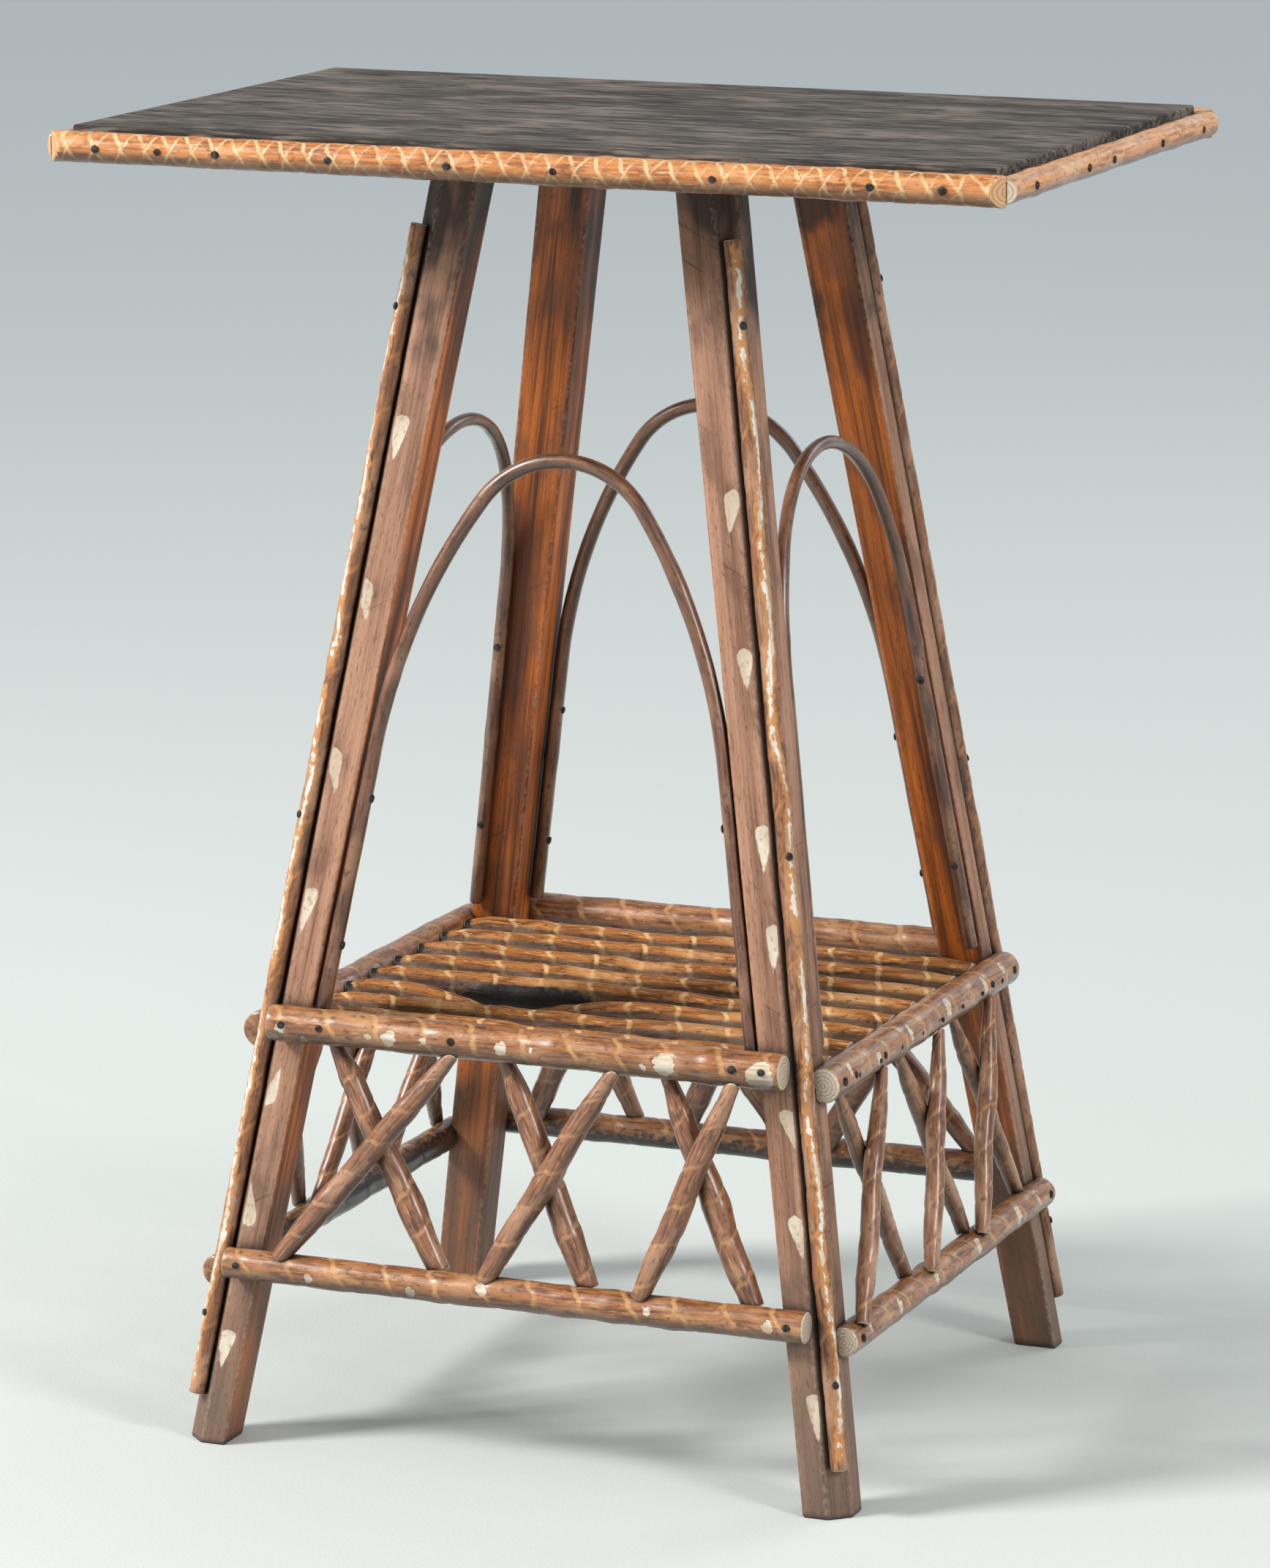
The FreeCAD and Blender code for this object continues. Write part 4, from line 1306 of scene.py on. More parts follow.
        moved = np.zeros_like(along)
        reach = min(self.longest_trim, stations[-1] / 2.2)
        for at_end, row in ((False, 0), (True, -1)):
            flat = line[row] + across[row][:, None] * first[row] + aside[row][:, None] * second[row]
            distance = stations[-1] - stations if at_end else stations
            share = np.clip(1 - distance / reach, 0.0, 1.0)
            moved += np.outer(share, self.trim(flat, forward[row], at_end))
        points = line[:, None] + across[..., None] * first[:, None] + aside[..., None] * second[:, None]
        points = self.seat(points + moved[..., None] * forward[:, None])

        ends = np.clip(1 - np.minimum(stations, stations[-1] - stations) / self.ease, 0.0, 1.0)
        cut = np.maximum(np.repeat(ends[:, None], self.sides, axis=1), self.bared(points)) * self.fresh_ends
        marks = np.stack([inside, cut, self.strip_and_shade(angle, along)], axis=-1)
        grain = np.stack([across, aside, along + self.seed * self.shift_per_seed], axis=-1)
        mesh.vertices.foreach_set("co", (points * MILLIMETRE).astype(np.float32).ravel())
        write_attribute(mesh, "grain", grain.reshape(-1, 3))
        write_attribute(mesh, "marks", marks.reshape(-1, 3))
        for polygon in mesh.polygons:
            polygon.use_smooth = len(polygon.vertices) == 4
        self.divide_ends(mesh, angle)
        mesh.update()
        make_piece(self.name, mesh, self.nodes, self.slot)

    def divide_ends(self, mesh: Mesh, angle: Array) -> None:
        """Divide the two end faces: a plain twig's stay whole."""


@dataclass
class CopedTwig(Twig):
    """A twig whose ends are hollowed to lie round the rails that it meets."""

    rails: tuple[tuple[Array, Array, float], ...] = ()
    longest_cope: float = 30.0
    whittle: tuple[float, float] = (0.0, 0.0)
    whittle_length: float = 24.0
    swell: float = 0.0

    def radii(self, stations: Array, draw: np.random.Generator) -> Array:
        """Vary the thickness.

        Args:
            stations: Distances along the twig.
            draw: Source of its swelling and knots.

        Returns:
            Radius at each station, thinned towards the whittled ends and swollen between them.
        """
        length = stations[-1]
        share = 1 + self.swell * np.sin(math.pi * stations / length)
        for whittle, distance in zip(self.whittle, (stations, length - stations)):
            share -= whittle * (1 - np.clip(distance / self.whittle_length, 0.0, 1.0) ** 1.5)
        return super().radii(stations, draw) * share

    def trim(self, ring: Array, forward: Array, at_end: bool) -> Array:
        """Move each line of an end ring back to the rail's surface.

        Args:
            ring: Points of the end ring.
            forward: Direction of the twig there.
            at_end: Whether this is the far end.

        Returns:
            Distance for each point along the twig, zero where the rail isn't met.
        """
        heading = forward if at_end else -forward
        moves = np.zeros(len(ring))
        for middle, direction, radius in self.rails:
            offset = ring - middle
            offset = offset - np.outer(offset @ direction, direction)
            slope = heading - direction * (heading @ direction)
            square = slope @ slope
            half = offset @ slope
            rest = half**2 - square * (np.einsum("ij,ij->i", offset, offset) - radius**2)
            entry = (-half - np.sqrt(np.maximum(rest, 0.0))) / square
            met = (rest > 0) & (entry > -self.longest_cope)
            moves = np.minimum(moves, np.where(met, entry, 0.0))
        return moves if at_end else -moves


@dataclass
class ShelfTwig(CopedTwig):
    """A twig of the shelf, with painted shade in the joint at its first end and beside an open gap."""

    # Patches of painted shade, and the length of painted shade at the first end.
    painted_shade: tuple[Blaze, ...] = ()
    shaded_end: float = 5.0

    def strip_and_shade(self, angle: Array, along: Array) -> Array:
        """Millimetres that each vertex lies inside the painted shade.

        Args:
            angle: Turn of each vertex round the middle line, from the top.
            along: Distance of each vertex along it.

        Returns:
            The distances, below zero on unshaded bark.
        """
        inside = self.shaded_end - along
        for patch in self.painted_shade:
            inside = np.maximum(inside, self.patch_reach(patch, angle, along))
        return inside


@dataclass
class SeatedTwig(Twig):
    """A twig with flats where it is nailed on to flat wood."""

    planes: tuple[tuple[Array, Array, Array, float], ...] = ()
    seat_gap: ClassVar[float] = 0.05

    def seat(self, points: Array) -> Array:
        """Lift what lies under a plane on to it.

        Args:
            points: Vertices of the twig.

        Returns:
            The vertices, flattened over each plane's stretch.
        """
        for middle, normal, run, half in self.planes:
            offset = points - middle
            depth = offset @ normal
            over = np.abs(offset @ run) < half
            lift = np.where(over & (depth < self.seat_gap), self.seat_gap - depth, 0.0)
            points = points + lift[..., None] * normal
        return points


@dataclass
class RailTwig(SeatedTwig):
    """A rail that may have painted shade along one side."""

    # Painted shade along one side of the rail: its depth in millimetres, its turn and how fast it fades.
    painted_shade: float = -4.0
    painted_shade_turn: float = math.pi
    painted_shade_fade: float = 5.0

    def strip_and_shade(self, angle: Array, along: Array) -> Array:
        """Millimetres that each vertex lies inside the painted shade, below zero on unshaded bark."""
        return self.painted_shade - self.painted_shade_fade * np.abs(swing(angle, self.painted_shade_turn)) / math.pi


@dataclass
class PaleStripTwig(SeatedTwig):
    """A twig with winding pale strips along it, partly peeled bark and partly painted highlight."""

    strips: tuple[tuple[float, float, float, float], ...] = ()
    strip_half_width: float = 1.1
    strip_end: ClassVar[float] = 6.0
    strip_seed: ClassVar[int] = 500

    def strip_and_shade(self, angle: Array, along: Array) -> Array:
        """Millimetres that each vertex lies inside a strip.

        Args:
            angle: Turn of each vertex round the middle line, from the face.
            along: Distance of each vertex along it.

        Returns:
            The distances, below zero outside every strip.
        """
        draw = np.random.default_rng(self.seed + self.strip_seed)
        share = along / along.max()
        inside = np.full_like(angle, FAR_OUTSIDE)
        for start, end, turn, sway in self.strips:
            middle = turn + sway * waves(along[:, 0], (240.0, 96.0), draw)[:, None]
            half = self.strip_half_width * (1 + 0.5 * waves(along[:, 0], (120.0, 43.0), draw)[:, None])
            aside = np.abs(swing(angle, middle)) * self.radius
            ends = np.minimum(share - start, end - share) * along.max() / self.strip_end
            inside = np.maximum(inside, np.minimum(half - aside, ends))
        return inside


@dataclass
class MitredTwig(SeatedTwig):
    """An edge twig cut at half a square corner at both ends, its sharp tips taken off."""

    corners: tuple[Array, ...] = ()

    def tips(self, points: Array) -> list[tuple[Array, Array]]:
        """Find what sticks out past the blunted corners.

        Args:
            points: Vertices of the twig.

        Returns:
            For each corner, the way along the twig and how far each vertex sticks out past it.
        """
        found = []
        for corner, sign in zip(self.corners, (-1, 1)):
            run = sign * unit(self.path[1] - self.path[0])
            past = (points - corner) @ unit(run + self.face) - SIZES.band_corner_reach
            found.append((run, past))
        return found

    def seat(self, points: Array) -> Array:
        """Lay the twig on the board's edge and take its tips off.

        Args:
            points: Vertices of the twig.

        Returns:
            The vertices, flattened and blunted.
        """
        points = super().seat(points)
        for run, past in self.tips(points):
            points = points - (np.maximum(past, 0.0) * math.sqrt(2))[..., None] * run
        return points

    def bared(self, points: Array) -> Array:
        """Share of cut wood at each vertex: all of it on the blunted corners."""
        return np.max([past > -0.01 for _, past in self.tips(points)], axis=0).astype(float)

    def trim(self, ring: Array, forward: Array, at_end: bool) -> Array:
        """Slant an end ring along the mitre: the outer side runs on, the inner side stops short."""
        outward = (ring - ring.mean(axis=0)) @ self.face
        return outward if at_end else -outward

    def divide_ends(self, mesh: Mesh, angle: Array) -> None:
        """Divide the two end faces into upright strips, because the blunted tip bends them.

        Args:
            mesh: The twig.
            angle: Turn of each vertex round the middle line, a row for each ring.
        """
        work = bmesh.new()
        work.from_mesh(mesh)
        work.verts.ensure_lookup_table()
        for start, turns in ((0, angle[0]), (angle.size - self.sides, angle[-1])):
            middle = int(np.argmin(np.abs(turns)))
            for step in range(1, self.sides // 2):
                pair = [work.verts[start + (middle + sign * step) % self.sides] for sign in (-1, 1)]
                bmesh.ops.connect_verts(work, verts=pair)
        work.to_mesh(mesh)
        work.free()


def loft(rings: Array, mirrored: bool) -> Mesh:
    """Skin a row of closed rings and cap both ends.

    Args:
        rings: Rings of points in millimetres, shaped rings by points by three.
        mirrored: Whether the faces have to be turned round.

    Returns:
        A closed mesh, in metres.
    """
    count, sides, _ = rings.shape
    faces = []
    for row in range(count - 1):
        for column in range(sides):
            beside = (column + 1) % sides
            near, far = row * sides, (row + 1) * sides
            faces.append((near + column, near + beside, far + beside, far + column))
    faces.append(tuple(range(sides - 1, -1, -1)))
    faces.append(tuple(range((count - 1) * sides, count * sides)))
    if mirrored:
        faces = [tuple(reversed(face)) for face in faces]
    mesh = bpy.data.meshes.new("loft")
    mesh.from_pydata((rings.reshape(-1, 3) * MILLIMETRE).tolist(), [], faces)
    for polygon in mesh.polygons:
        polygon.use_smooth = len(polygon.vertices) == 4
    return mesh


def flat_counts(corners: Array, ease: float, spacing: float) -> list[int]:
    """Numbers of steps that put points about a spacing apart on the flats of a section."""
    lengths = np.linalg.norm(np.roll(corners, -1, axis=0) - corners, axis=1)
    return [max(2, round((length - 2 * ease) / spacing)) for length in lengths]


def eased_section(corners: Array, ease: float, counts: Sequence[int]) -> Section:
    """Go round a flat section with eased corners.

    Args:
        corners: Corners of the section, in order.
        ease: How much of each corner is rubbed off.
        counts: Steps on each flat.

    Returns:
        The points, the number of the flat that each belongs to, and each point's share of wear.
    """
    rounding, beside_wear = 0.293, 0.6
    points, flats, wear = [], [], []
    total = len(corners)
    for index, count in enumerate(counts):
        corner, before, after = corners[index], corners[index - 1], corners[(index + 1) % total]
        back, ahead = unit(before - corner), unit(after - corner)
        points += [corner + ease * back, corner + rounding * ease * (back + ahead), corner + ease * ahead]
        flats += [(index - 1) % total, index, index]
        wear += [beside_wear, 1.0, beside_wear]
        length = np.linalg.norm(after - corner)
        for step in range(1, count):
            points.append(corner + ahead * (ease + (length - 2 * ease) * step / count))
            flats.append(index)
            wear.append(0.0)
    return np.array(points), np.array(flats), np.array(wear)


@dataclass
class TableTop:
    """The board, its four edge twigs and the two battens that hold it to the legs."""

    ring_step: float = 9.0
    ease: float = 0.9
    hollow: float = 0.12
    batten_rings: int = 48
    batten_spacing: float = 3.0
    batten_end: float = 0.06

    def build(self) -> None:
        """Make the board, the edge twigs and the battens."""
        self.build_board()
        for side in SIDES:
            self.build_band(side)
        for name, sign in (("left", -1), ("right", 1)):
            self.build_batten(name, sign)

    def build_board(self) -> None:
        """Make the board, a shade uneven as an old board is."""
        half_x, half_y = (size / 2 for size in SIZES.board)
        low, high = SIZES.leg_height, SIZES.height
        corners = np.array([[-half_y, low], [half_y, low], [half_y, high], [-half_y, high]])
        counts = flat_counts(corners, self.ease, self.ring_step)
        section, _, _ = eased_section(corners, self.ease, counts)
        across, levels = section.T
        places = np.linspace(-half_x + self.ease, half_x - self.ease, round(2 * half_x / self.ring_step))
        dips = waves(places, (410.0, 190.0), np.random.default_rng(Seed.BOARD))
        fade = np.cos(across / half_y * 1.5) * (levels > high - self.ease)
        rings = []
        for place, dip in zip(places, dips):
            sag = np.abs(self.hollow * dip * fade)
            rings.append(np.column_stack([np.full(len(section), place), across, levels - sag]))
        middle = np.array([0.0, 0.0, (low + high) / 2])
        inset = [0.0, 1 - self.ease / half_y, 1 - 2 * self.ease / (high - low)]
        ends = []
        for ring, sign in ((rings[0], -1), (rings[-1], 1)):
            end = middle + (ring - middle) * inset
            end[:, 0] = sign * half_x
            ends.append(end)
        mesh = loft(np.array([ends[0], *rings, ends[1]]), False)
        mesh.materials.append(BoardFinish().material())
        make_piece("board", mesh, ("top_board",), "top_board")

    def build_band(self, side: Side) -> None:
        """Make the edge twig of one side.

        Args:
            side: The side.
        """
        half, edge = (SIZES.board[axis] / 2 for axis in (side.along, side.along.other))
        radius = SIZES.band_radii[side.along]
        stand = radius - SIZES.band_seat
        reach = half + stand - SIZES.mitre_gap / math.sqrt(2)
        middle = side.level_out * (edge + stand) + UPRIGHT * SIZES.band_height
        MitredTwig(
            name=f"edge_twig_{side.name}",
            nodes=(f"edge_band_{side.name}",),
            slot="edge_twig",
            finish=PLAIN_BAND_BARK if side.name == "right" else NETTED_BARK,
            path=np.array([middle - side.right * reach, middle + side.right * reach]),
            radius=radius,
            face=side.level_out,
            seed=Seed.BAND + side.number,
            sides=36,
            crook=0.25,
            knots=3,
            relief=0.45,
            groove=0.35,
            planes=((side.level_out * edge, side.level_out, side.right, half),),
            corners=tuple(side.level_out * edge + sign * half * side.right for sign in (-1, 1)),
        ).build()

    def build_batten(self, name: str, sign: int) -> None:
        """Make a batten, bevelled to the legs' inner faces.

        Args:
            name: Side that the batten is on.
            sign: Sign of its place along X.
        """
        low, high = SIZES.leg_height - SIZES.batten_thickness, SIZES.leg_height
        face = SIZES.batten_face
        outer_low, outer_high = (SIZES.leg_inner(Axis.X, level) for level in (low, high))
        corners = np.array([[face, low], [outer_low, low], [outer_high, high], [face, high]])
        counts = flat_counts(corners, self.ease, self.batten_spacing)
        section, _, wear = eased_section(corners, self.ease, counts)
        half = SIZES.leg_outer(Axis.Y, high)
        between = np.linspace(-half + self.ease, half - self.ease, self.batten_rings)
        middle = section.mean(axis=0)
        rings = []
        for place in (-half, *between, half):
            ring = middle + (section - middle) * (1 - self.batten_end * (abs(place) == half))
            rings.append(np.column_stack([sign * ring[:, 0], np.full(len(ring), place), ring[:, 1]]))
        mesh = loft(np.array(rings), sign > 0)
        points = np.concatenate(rings)
        write_attribute(mesh, "grain", points[:, [0, 2, 1]])
        write_attribute(mesh, "marks", np.tile([OUTSIDE, 0.0, 0.0], (len(points), 1)))
        write_attribute(mesh, "wear", np.outer(np.tile(wear, len(rings)), [0.0, 0.0, 0.5]))
        mesh.materials.append(BATTEN_TIMBER.material())
        make_piece(f"batten_{name}", mesh, (f"top_batten_{name}",), "batten")


@dataclass(frozen=True)
class LeafChip:
    """A pale leaf-shaped chip cut in a leg's front face."""

    level: float
    shift: float
    length: float
    width: float
    slant: float
    upturned: bool


class LegFace(IntEnum):
    """The flats of a leg's section, in order round it."""

    INNER_Y = 0
    OUTER_X = 1
    CORNER = 2
    OUTER_Y = 3
    INNER_X = 4


@dataclass
class LegWork:
    """One sawn leg and the twig nailed along its outer corner."""

    leg: Leg
    ease: float = 1.1
    ring_step: float = 2.3
    end_bevel: float = 0.05
    unevenness: float = 0.006
    chip_depth: float = 0.7
    chip_edge: float = 1.5
    chip_seed_step: int = 7
    grain_shift: float = 60.0
    grain_shift_along: float = 900.0
    flat_steps: ClassVar[tuple[int, ...]] = (14, 9, 7, 10, 14)
    chip_levels: ClassVar[dict[str, tuple[float, ...]]] = {
        "front_left": (564.0, 474.0, 379.0, 301.0, 203.0, 137.0, 54.0),
        "front_right": (536.0, 452.0, 357.0, 304.0, 207.0, 150.0, 54.0),
    }
    upturned_levels: ClassVar[tuple[float, ...]] = (203.0, 137.0)
    # Pale strips on each corner twig, partly peeled bark and partly painted highlight.
    strips: ClassVar[dict[str, tuple[tuple[float, float, float, float], ...]]] = {
        "front_left": ((0.02, 0.34, 0.15, 0.5), (0.38, 0.6, 0.3, 0.45), (0.64, 0.98, 0.1, 0.6)),
        "front_right": ((0.02, 0.42, 0.05, 0.62), (0.45, 0.98, 0.0, 0.72)),
        "back_right": ((0.05, 0.4, 0.8, 0.4), (0.55, 0.9, 0.6, 0.4)),
        "back_left": ((0.1, 0.45, -0.8, 0.4), (0.5, 0.95, -0.6, 0.4)),
    }

    def build(self) -> None:
        """Make the leg and the corner twig."""
        self.build_leg()
        self.build_corner_twig()

    def chips(self) -> list[LeafChip]:
        """Lay out the chips on the leg's front face.

        Returns:
            The chips, none on the back legs.
        """
        draw = np.random.default_rng(Seed.CHIPS + self.chip_seed_step * self.leg.number)
        found = []
        for level in self.chip_levels.get(self.leg.name, ()):
            shift, slant = draw.uniform(-2.0, 2.0), draw.uniform(-0.25, 0.25)
            length, width = draw.uniform(20.0, 28.0), draw.uniform(10.5, 12.5)
            found.append(LeafChip(level, shift, length, width, slant, level in self.upturned_levels))
        return found

    def section(self, level: float) -> Section:
        """Cut the leg at a level.

        Args:
            level: Height of the cut.

        Returns:
            The section about its own middle, outer corner towards +X and +Y, as eased_section gives it.
        """
        x, y = (SIZES.leg_half(axis, level) for axis in Axis)
        cut = SIZES.leg_chamfer
        corners = np.array([[-x, -y], [x, -y], [x, y - cut], [x - cut, y], [-x, y]])
        return eased_section(corners, self.ease, self.flat_steps)

    def build_leg(self) -> None:
        """Make the leg."""
        leg, height = self.leg, SIZES.leg_height
        between = np.linspace(self.ease, height - self.ease, round(height / self.ring_step))
        levels = np.concatenate([[0.0], between, [height]])
        drifts = waves(levels, (260.0, 118.0, 61.0), np.random.default_rng(Seed.LEG + leg.number))
        chips = self.chips()
        low, high = SIZES.corner_twig_ends
        rings, grains, marks, wears = [], [], [], []
        for level, drift in zip(levels, drifts):
            section, flats, wear = self.section(level)
            at_end = level in (0.0, height)
            shaved = section * (1 - self.end_bevel * at_end) * (1 - self.unevenness * abs(drift))
            depth = np.full(len(section), OUTSIDE)
            for chip in chips:
                depth = np.maximum(depth, self.chip_reach(chip, section[:, 0] * leg.signs[0], level))
            depth = np.where(flats == LegFace.OUTER_Y, depth, OUTSIDE)
            shaved[:, 1] -= self.chip_depth * np.clip(depth / self.chip_edge + 0.2, 0.0, 1.0)
            middle = np.array([SIZES.leg_middle(axis, level) for axis in Axis])
            heights = np.full(len(section), level)
            rings.append(np.column_stack([np.array(leg.signs) * (middle + shaved), heights]))
            shifted = heights + leg.number * self.grain_shift_along
            grains.append(np.column_stack([section + leg.number * self.grain_shift, shifted]))
            inner = np.isin(flats, (LegFace.INNER_X, LegFace.INNER_Y))
            marks.append(np.column_stack([depth, np.full(len(section), at_end), inner]))
            # The chamfer under the corner twig gets painted shade in its groove.
            covered = low < level < high
            shaded_groove = (flats == LegFace.CORNER) & (wear == 0) & covered
            wears.append(np.column_stack([shaded_groove, np.zeros_like(wear), wear]))
        mesh = loft(np.array(rings), leg.signs[0] * leg.signs[1] < 0)
        for key, values in (("grain", grains), ("marks", marks), ("wear", wears)):
            write_attribute(mesh, key, np.concatenate(values))
        mesh.materials.append(LEG_TIMBER.material())
        make_piece(f"sawn_leg_{leg.name}", mesh, (f"leg_{leg.name}",), "leg_timber")

    def chip_reach(self, chip: LeafChip, across: Array, level: float) -> Array:
        """How deep points of the front face lie inside a chip's outline.

        Args:
            chip: The chip.
            across: Places across the face.
            level: Height of the points.

        Returns:
            Millimetres inside the outline, below zero outside it.
        """
        rise = (level - chip.level) / (-chip.length if chip.upturned else chip.length) + 0.5
        if not -0.3 < rise < 1.3:
            return np.full(len(across), OUTSIDE)
        bounded = min(max(rise, 0.0), 1.0)
        half = chip.width / 2 * bounded**0.9 * (1 - bounded**10) ** 0.5 * 1.1
        outside = max(0.0, -rise, rise - 1.0) * chip.length
        middle = chip.shift + chip.slant * (level - chip.level)
        return half - np.abs(across - middle) - outside

    def build_corner_twig(self) -> None:
        """Make the twig along the outer corner."""
        leg, (low, high) = self.leg, SIZES.corner_twig_ends
        path = [leg.corner(level, SIZES.corner_inset) for level in (low, high)]
        grain, out = leg.twig_directions()
        seat = leg.corner(low, SIZES.leg_chamfer / 2)
        PaleStripTwig(
            name=f"corner_bark_{leg.name}",
            nodes=(f"corner_twig_{leg.name}",),
            slot="corner_twig",
            finish=CORNER_BARK,
            path=np.array(path),
            radius=SIZES.corner_twig_radius,
            face=out,
            seed=Seed.CORNER_TWIG + leg.number,
            sides=24,
            crook=0.5,
            knots=5,
            planes=((seat, out, grain, 2 * high),),
            strips=self.strips[leg.name],
        ).build()


@dataclass
class SideWork:
    """What one side carries: two rails, six lattice twigs and a bent arch."""

    side: Side
    front_blazes: tuple[Spot, ...] = (
        (0.012, 4.0, 0.9), (0.03, 3.0, 0.2), (0.075, 2.4, 0.9), (0.206, 2.2, 0.2), (0.246, 4.6, 0.2),
        (0.316, 2.2, 0.15), (0.466, 3.8, 0.15), (0.525, 1.5, 0.0), (0.742, 2.0, 0.3), (0.782, 6.2, 0.1),
        (0.965, 8.0, 0.3),
    )
    right_blazes: tuple[Spot, ...] = (
        (0.07, 2.2, -0.4), (0.21, 3.0, -0.1), (0.385, 2.8, -0.3), (0.6, 3.6, -0.25), (0.81, 3.4, -0.2),
        (0.915, 2.6, -0.4),
    )
    other_blazes: int = 5
    lattice_seeds: int = 211
    # Painted shade along the inner sides of the left and back lower rails.
    lower_rail_shade: ClassVar[dict[str, dict[str, float]]] = {
        "left": {"painted_shade": 2.4},
        "back": {"painted_shade": 2.0, "painted_shade_turn": 0.7 * math.pi},
    }
    whittles: ClassVar[dict[Lay, tuple[float, float]]] = {Lay.RISE: (0.16, 0.24), Lay.FALL: (0.08, 0.36)}

    def build(self) -> None:
        """Make the rails, the lattice twigs and the arch."""
        for course in Course:
            self.build_rail(course)
        for lay in Lay:
            for index, ends in enumerate(self.side.sizes.lattice_ends[lay], start=1):
                self.build_lattice_twig(lay, index, ends)
        self.build_arch()

    def blazes(self, course: Course, seed: int) -> tuple[Blaze, ...]:
        """Lay out the pale patches along a rail.

        Args:
            course: Upper or lower.
            seed: Choice of the patches that aren't seen in the photograph.

        Returns:
            The patches seen at the front and right, elsewhere a few of the same kind.
        """
        if self.side.name == "front" and course is Course.UPPER:
            spots, widening = self.front_blazes, 1.15
        elif self.side.name == "right":
            spots, widening = self.right_blazes, 1.9
        else:
            draw = np.random.default_rng(seed)
            count = self.other_blazes
            places = np.linspace(0.1, 0.9, count) + draw.uniform(-0.06, 0.06, count)
            spots = zip(places, draw.uniform(2.0, 4.4, count), draw.uniform(-0.7, 0.7, count))
            widening = 1.1
        return tuple(Blaze(share, turn, size, size * widening) for share, size, turn in spots)

    def build_rail(self, course: Course) -> None:
        """Make one rail, flat where it lies on the two legs.

        Args:
            course: Upper or lower.
        """
        side = self.side
        up, out, half = side.rail(course)
        level = side.rail_height(course)
        seats = []
        for sign in (-1, 1):
            middle = side.point(sign * SIZES.leg_middle(side.along, level), up, 0.0)
            seats.append((middle, side.out, side.right, SIZES.leg_half(side.along, level)))
        seed = side.number + (Seed.UPPER_RAIL if course is Course.UPPER else Seed.LOWER_RAIL)
        RailTwig(
            name=f"{course.value}_rail_bark_{side.name}",
            nodes=(f"{course.value}_rail_{side.name}",),
            slot="rail_twig",
            finish=RAIL_BARK,
            path=np.array([side.point(-half, up, out), side.point(half, up, out)]),
            radius=RAIL_RADII[course],
            face=side.out,
            seed=seed,
            sides=36,
            knots=4,
            crook=0.6,
            fresh_ends=0.3 if side.name == "left" else 1.0,
            blazes=self.blazes(course, seed),
            planes=tuple(seats),
            **(self.lower_rail_shade.get(side.name, {}) if course is Course.LOWER else {}),
        ).build()

    def build_lattice_twig(self, lay: Lay, index: int, ends: tuple[float, float]) -> None:
        """Make one lattice twig, coped between the rails.

        Args:
            lay: Which way it leans.
            index: Its number along the side.
            ends: Places of its ends as parts of the half distance between the leg middles.
        """
        side, sizes = self.side, self.side.sizes
        low_up, low_out, _ = side.rail(Course.LOWER)
        high_up, high_out, _ = side.rail(Course.UPPER)
        offset = -sizes.fall_setback
        if lay is Lay.RISE:
            offset += sum(sizes.lattice_radii.values()) + SIZES.fit_clearance
        left, right = (part * side.lattice_half for part in ends)
        foot, head = (left, right) if lay is Lay.RISE else (right, left)
        path = [
            side.point(foot, low_up + SIZES.lattice_lap, low_out + offset),
            side.point(head, high_up - SIZES.lattice_lap, high_out + offset),
        ]
        node = f"lattice_{side.name}_{lay.value}_{index}"
        CopedTwig(
            name=f"bark_{node}",
            nodes=(node,),
            slot="lattice_twig",
            finish=LATTICE_BARK,
            path=np.array(path),
            radius=sizes.lattice_radii[lay],
            face=side.out,
            seed=Seed.LATTICE_TWIG + sum(node.encode()) % self.lattice_seeds,
            taper=SIZES.twig_taper,
            sides=24,
            step=2.0,
            crook=1.1,
            knots=3,
            rails=tuple(side.rail_cope(course) for course in Course),
            whittle=self.whittles[lay],
            swell=0.15,
        ).build()

    def build_arch(self) -> None:
        """Make the bent rod."""
        side = self.side
        Twig(
            name=f"bent_arch_{side.name}",
            nodes=(f"arch_{side.name}",),
            slot="bent_rod",
            finish=BENT_SHOOT,
            path=side.arch_path(),
            radius=side.sizes.rod_radius,
            face=side.out,
            seed=Seed.ARCH + side.number,
            sides=20,
            step=2.6,
            crook=0.0,
            knots=3,
            relief=0.2,
            groove=0.0,
        ).build()


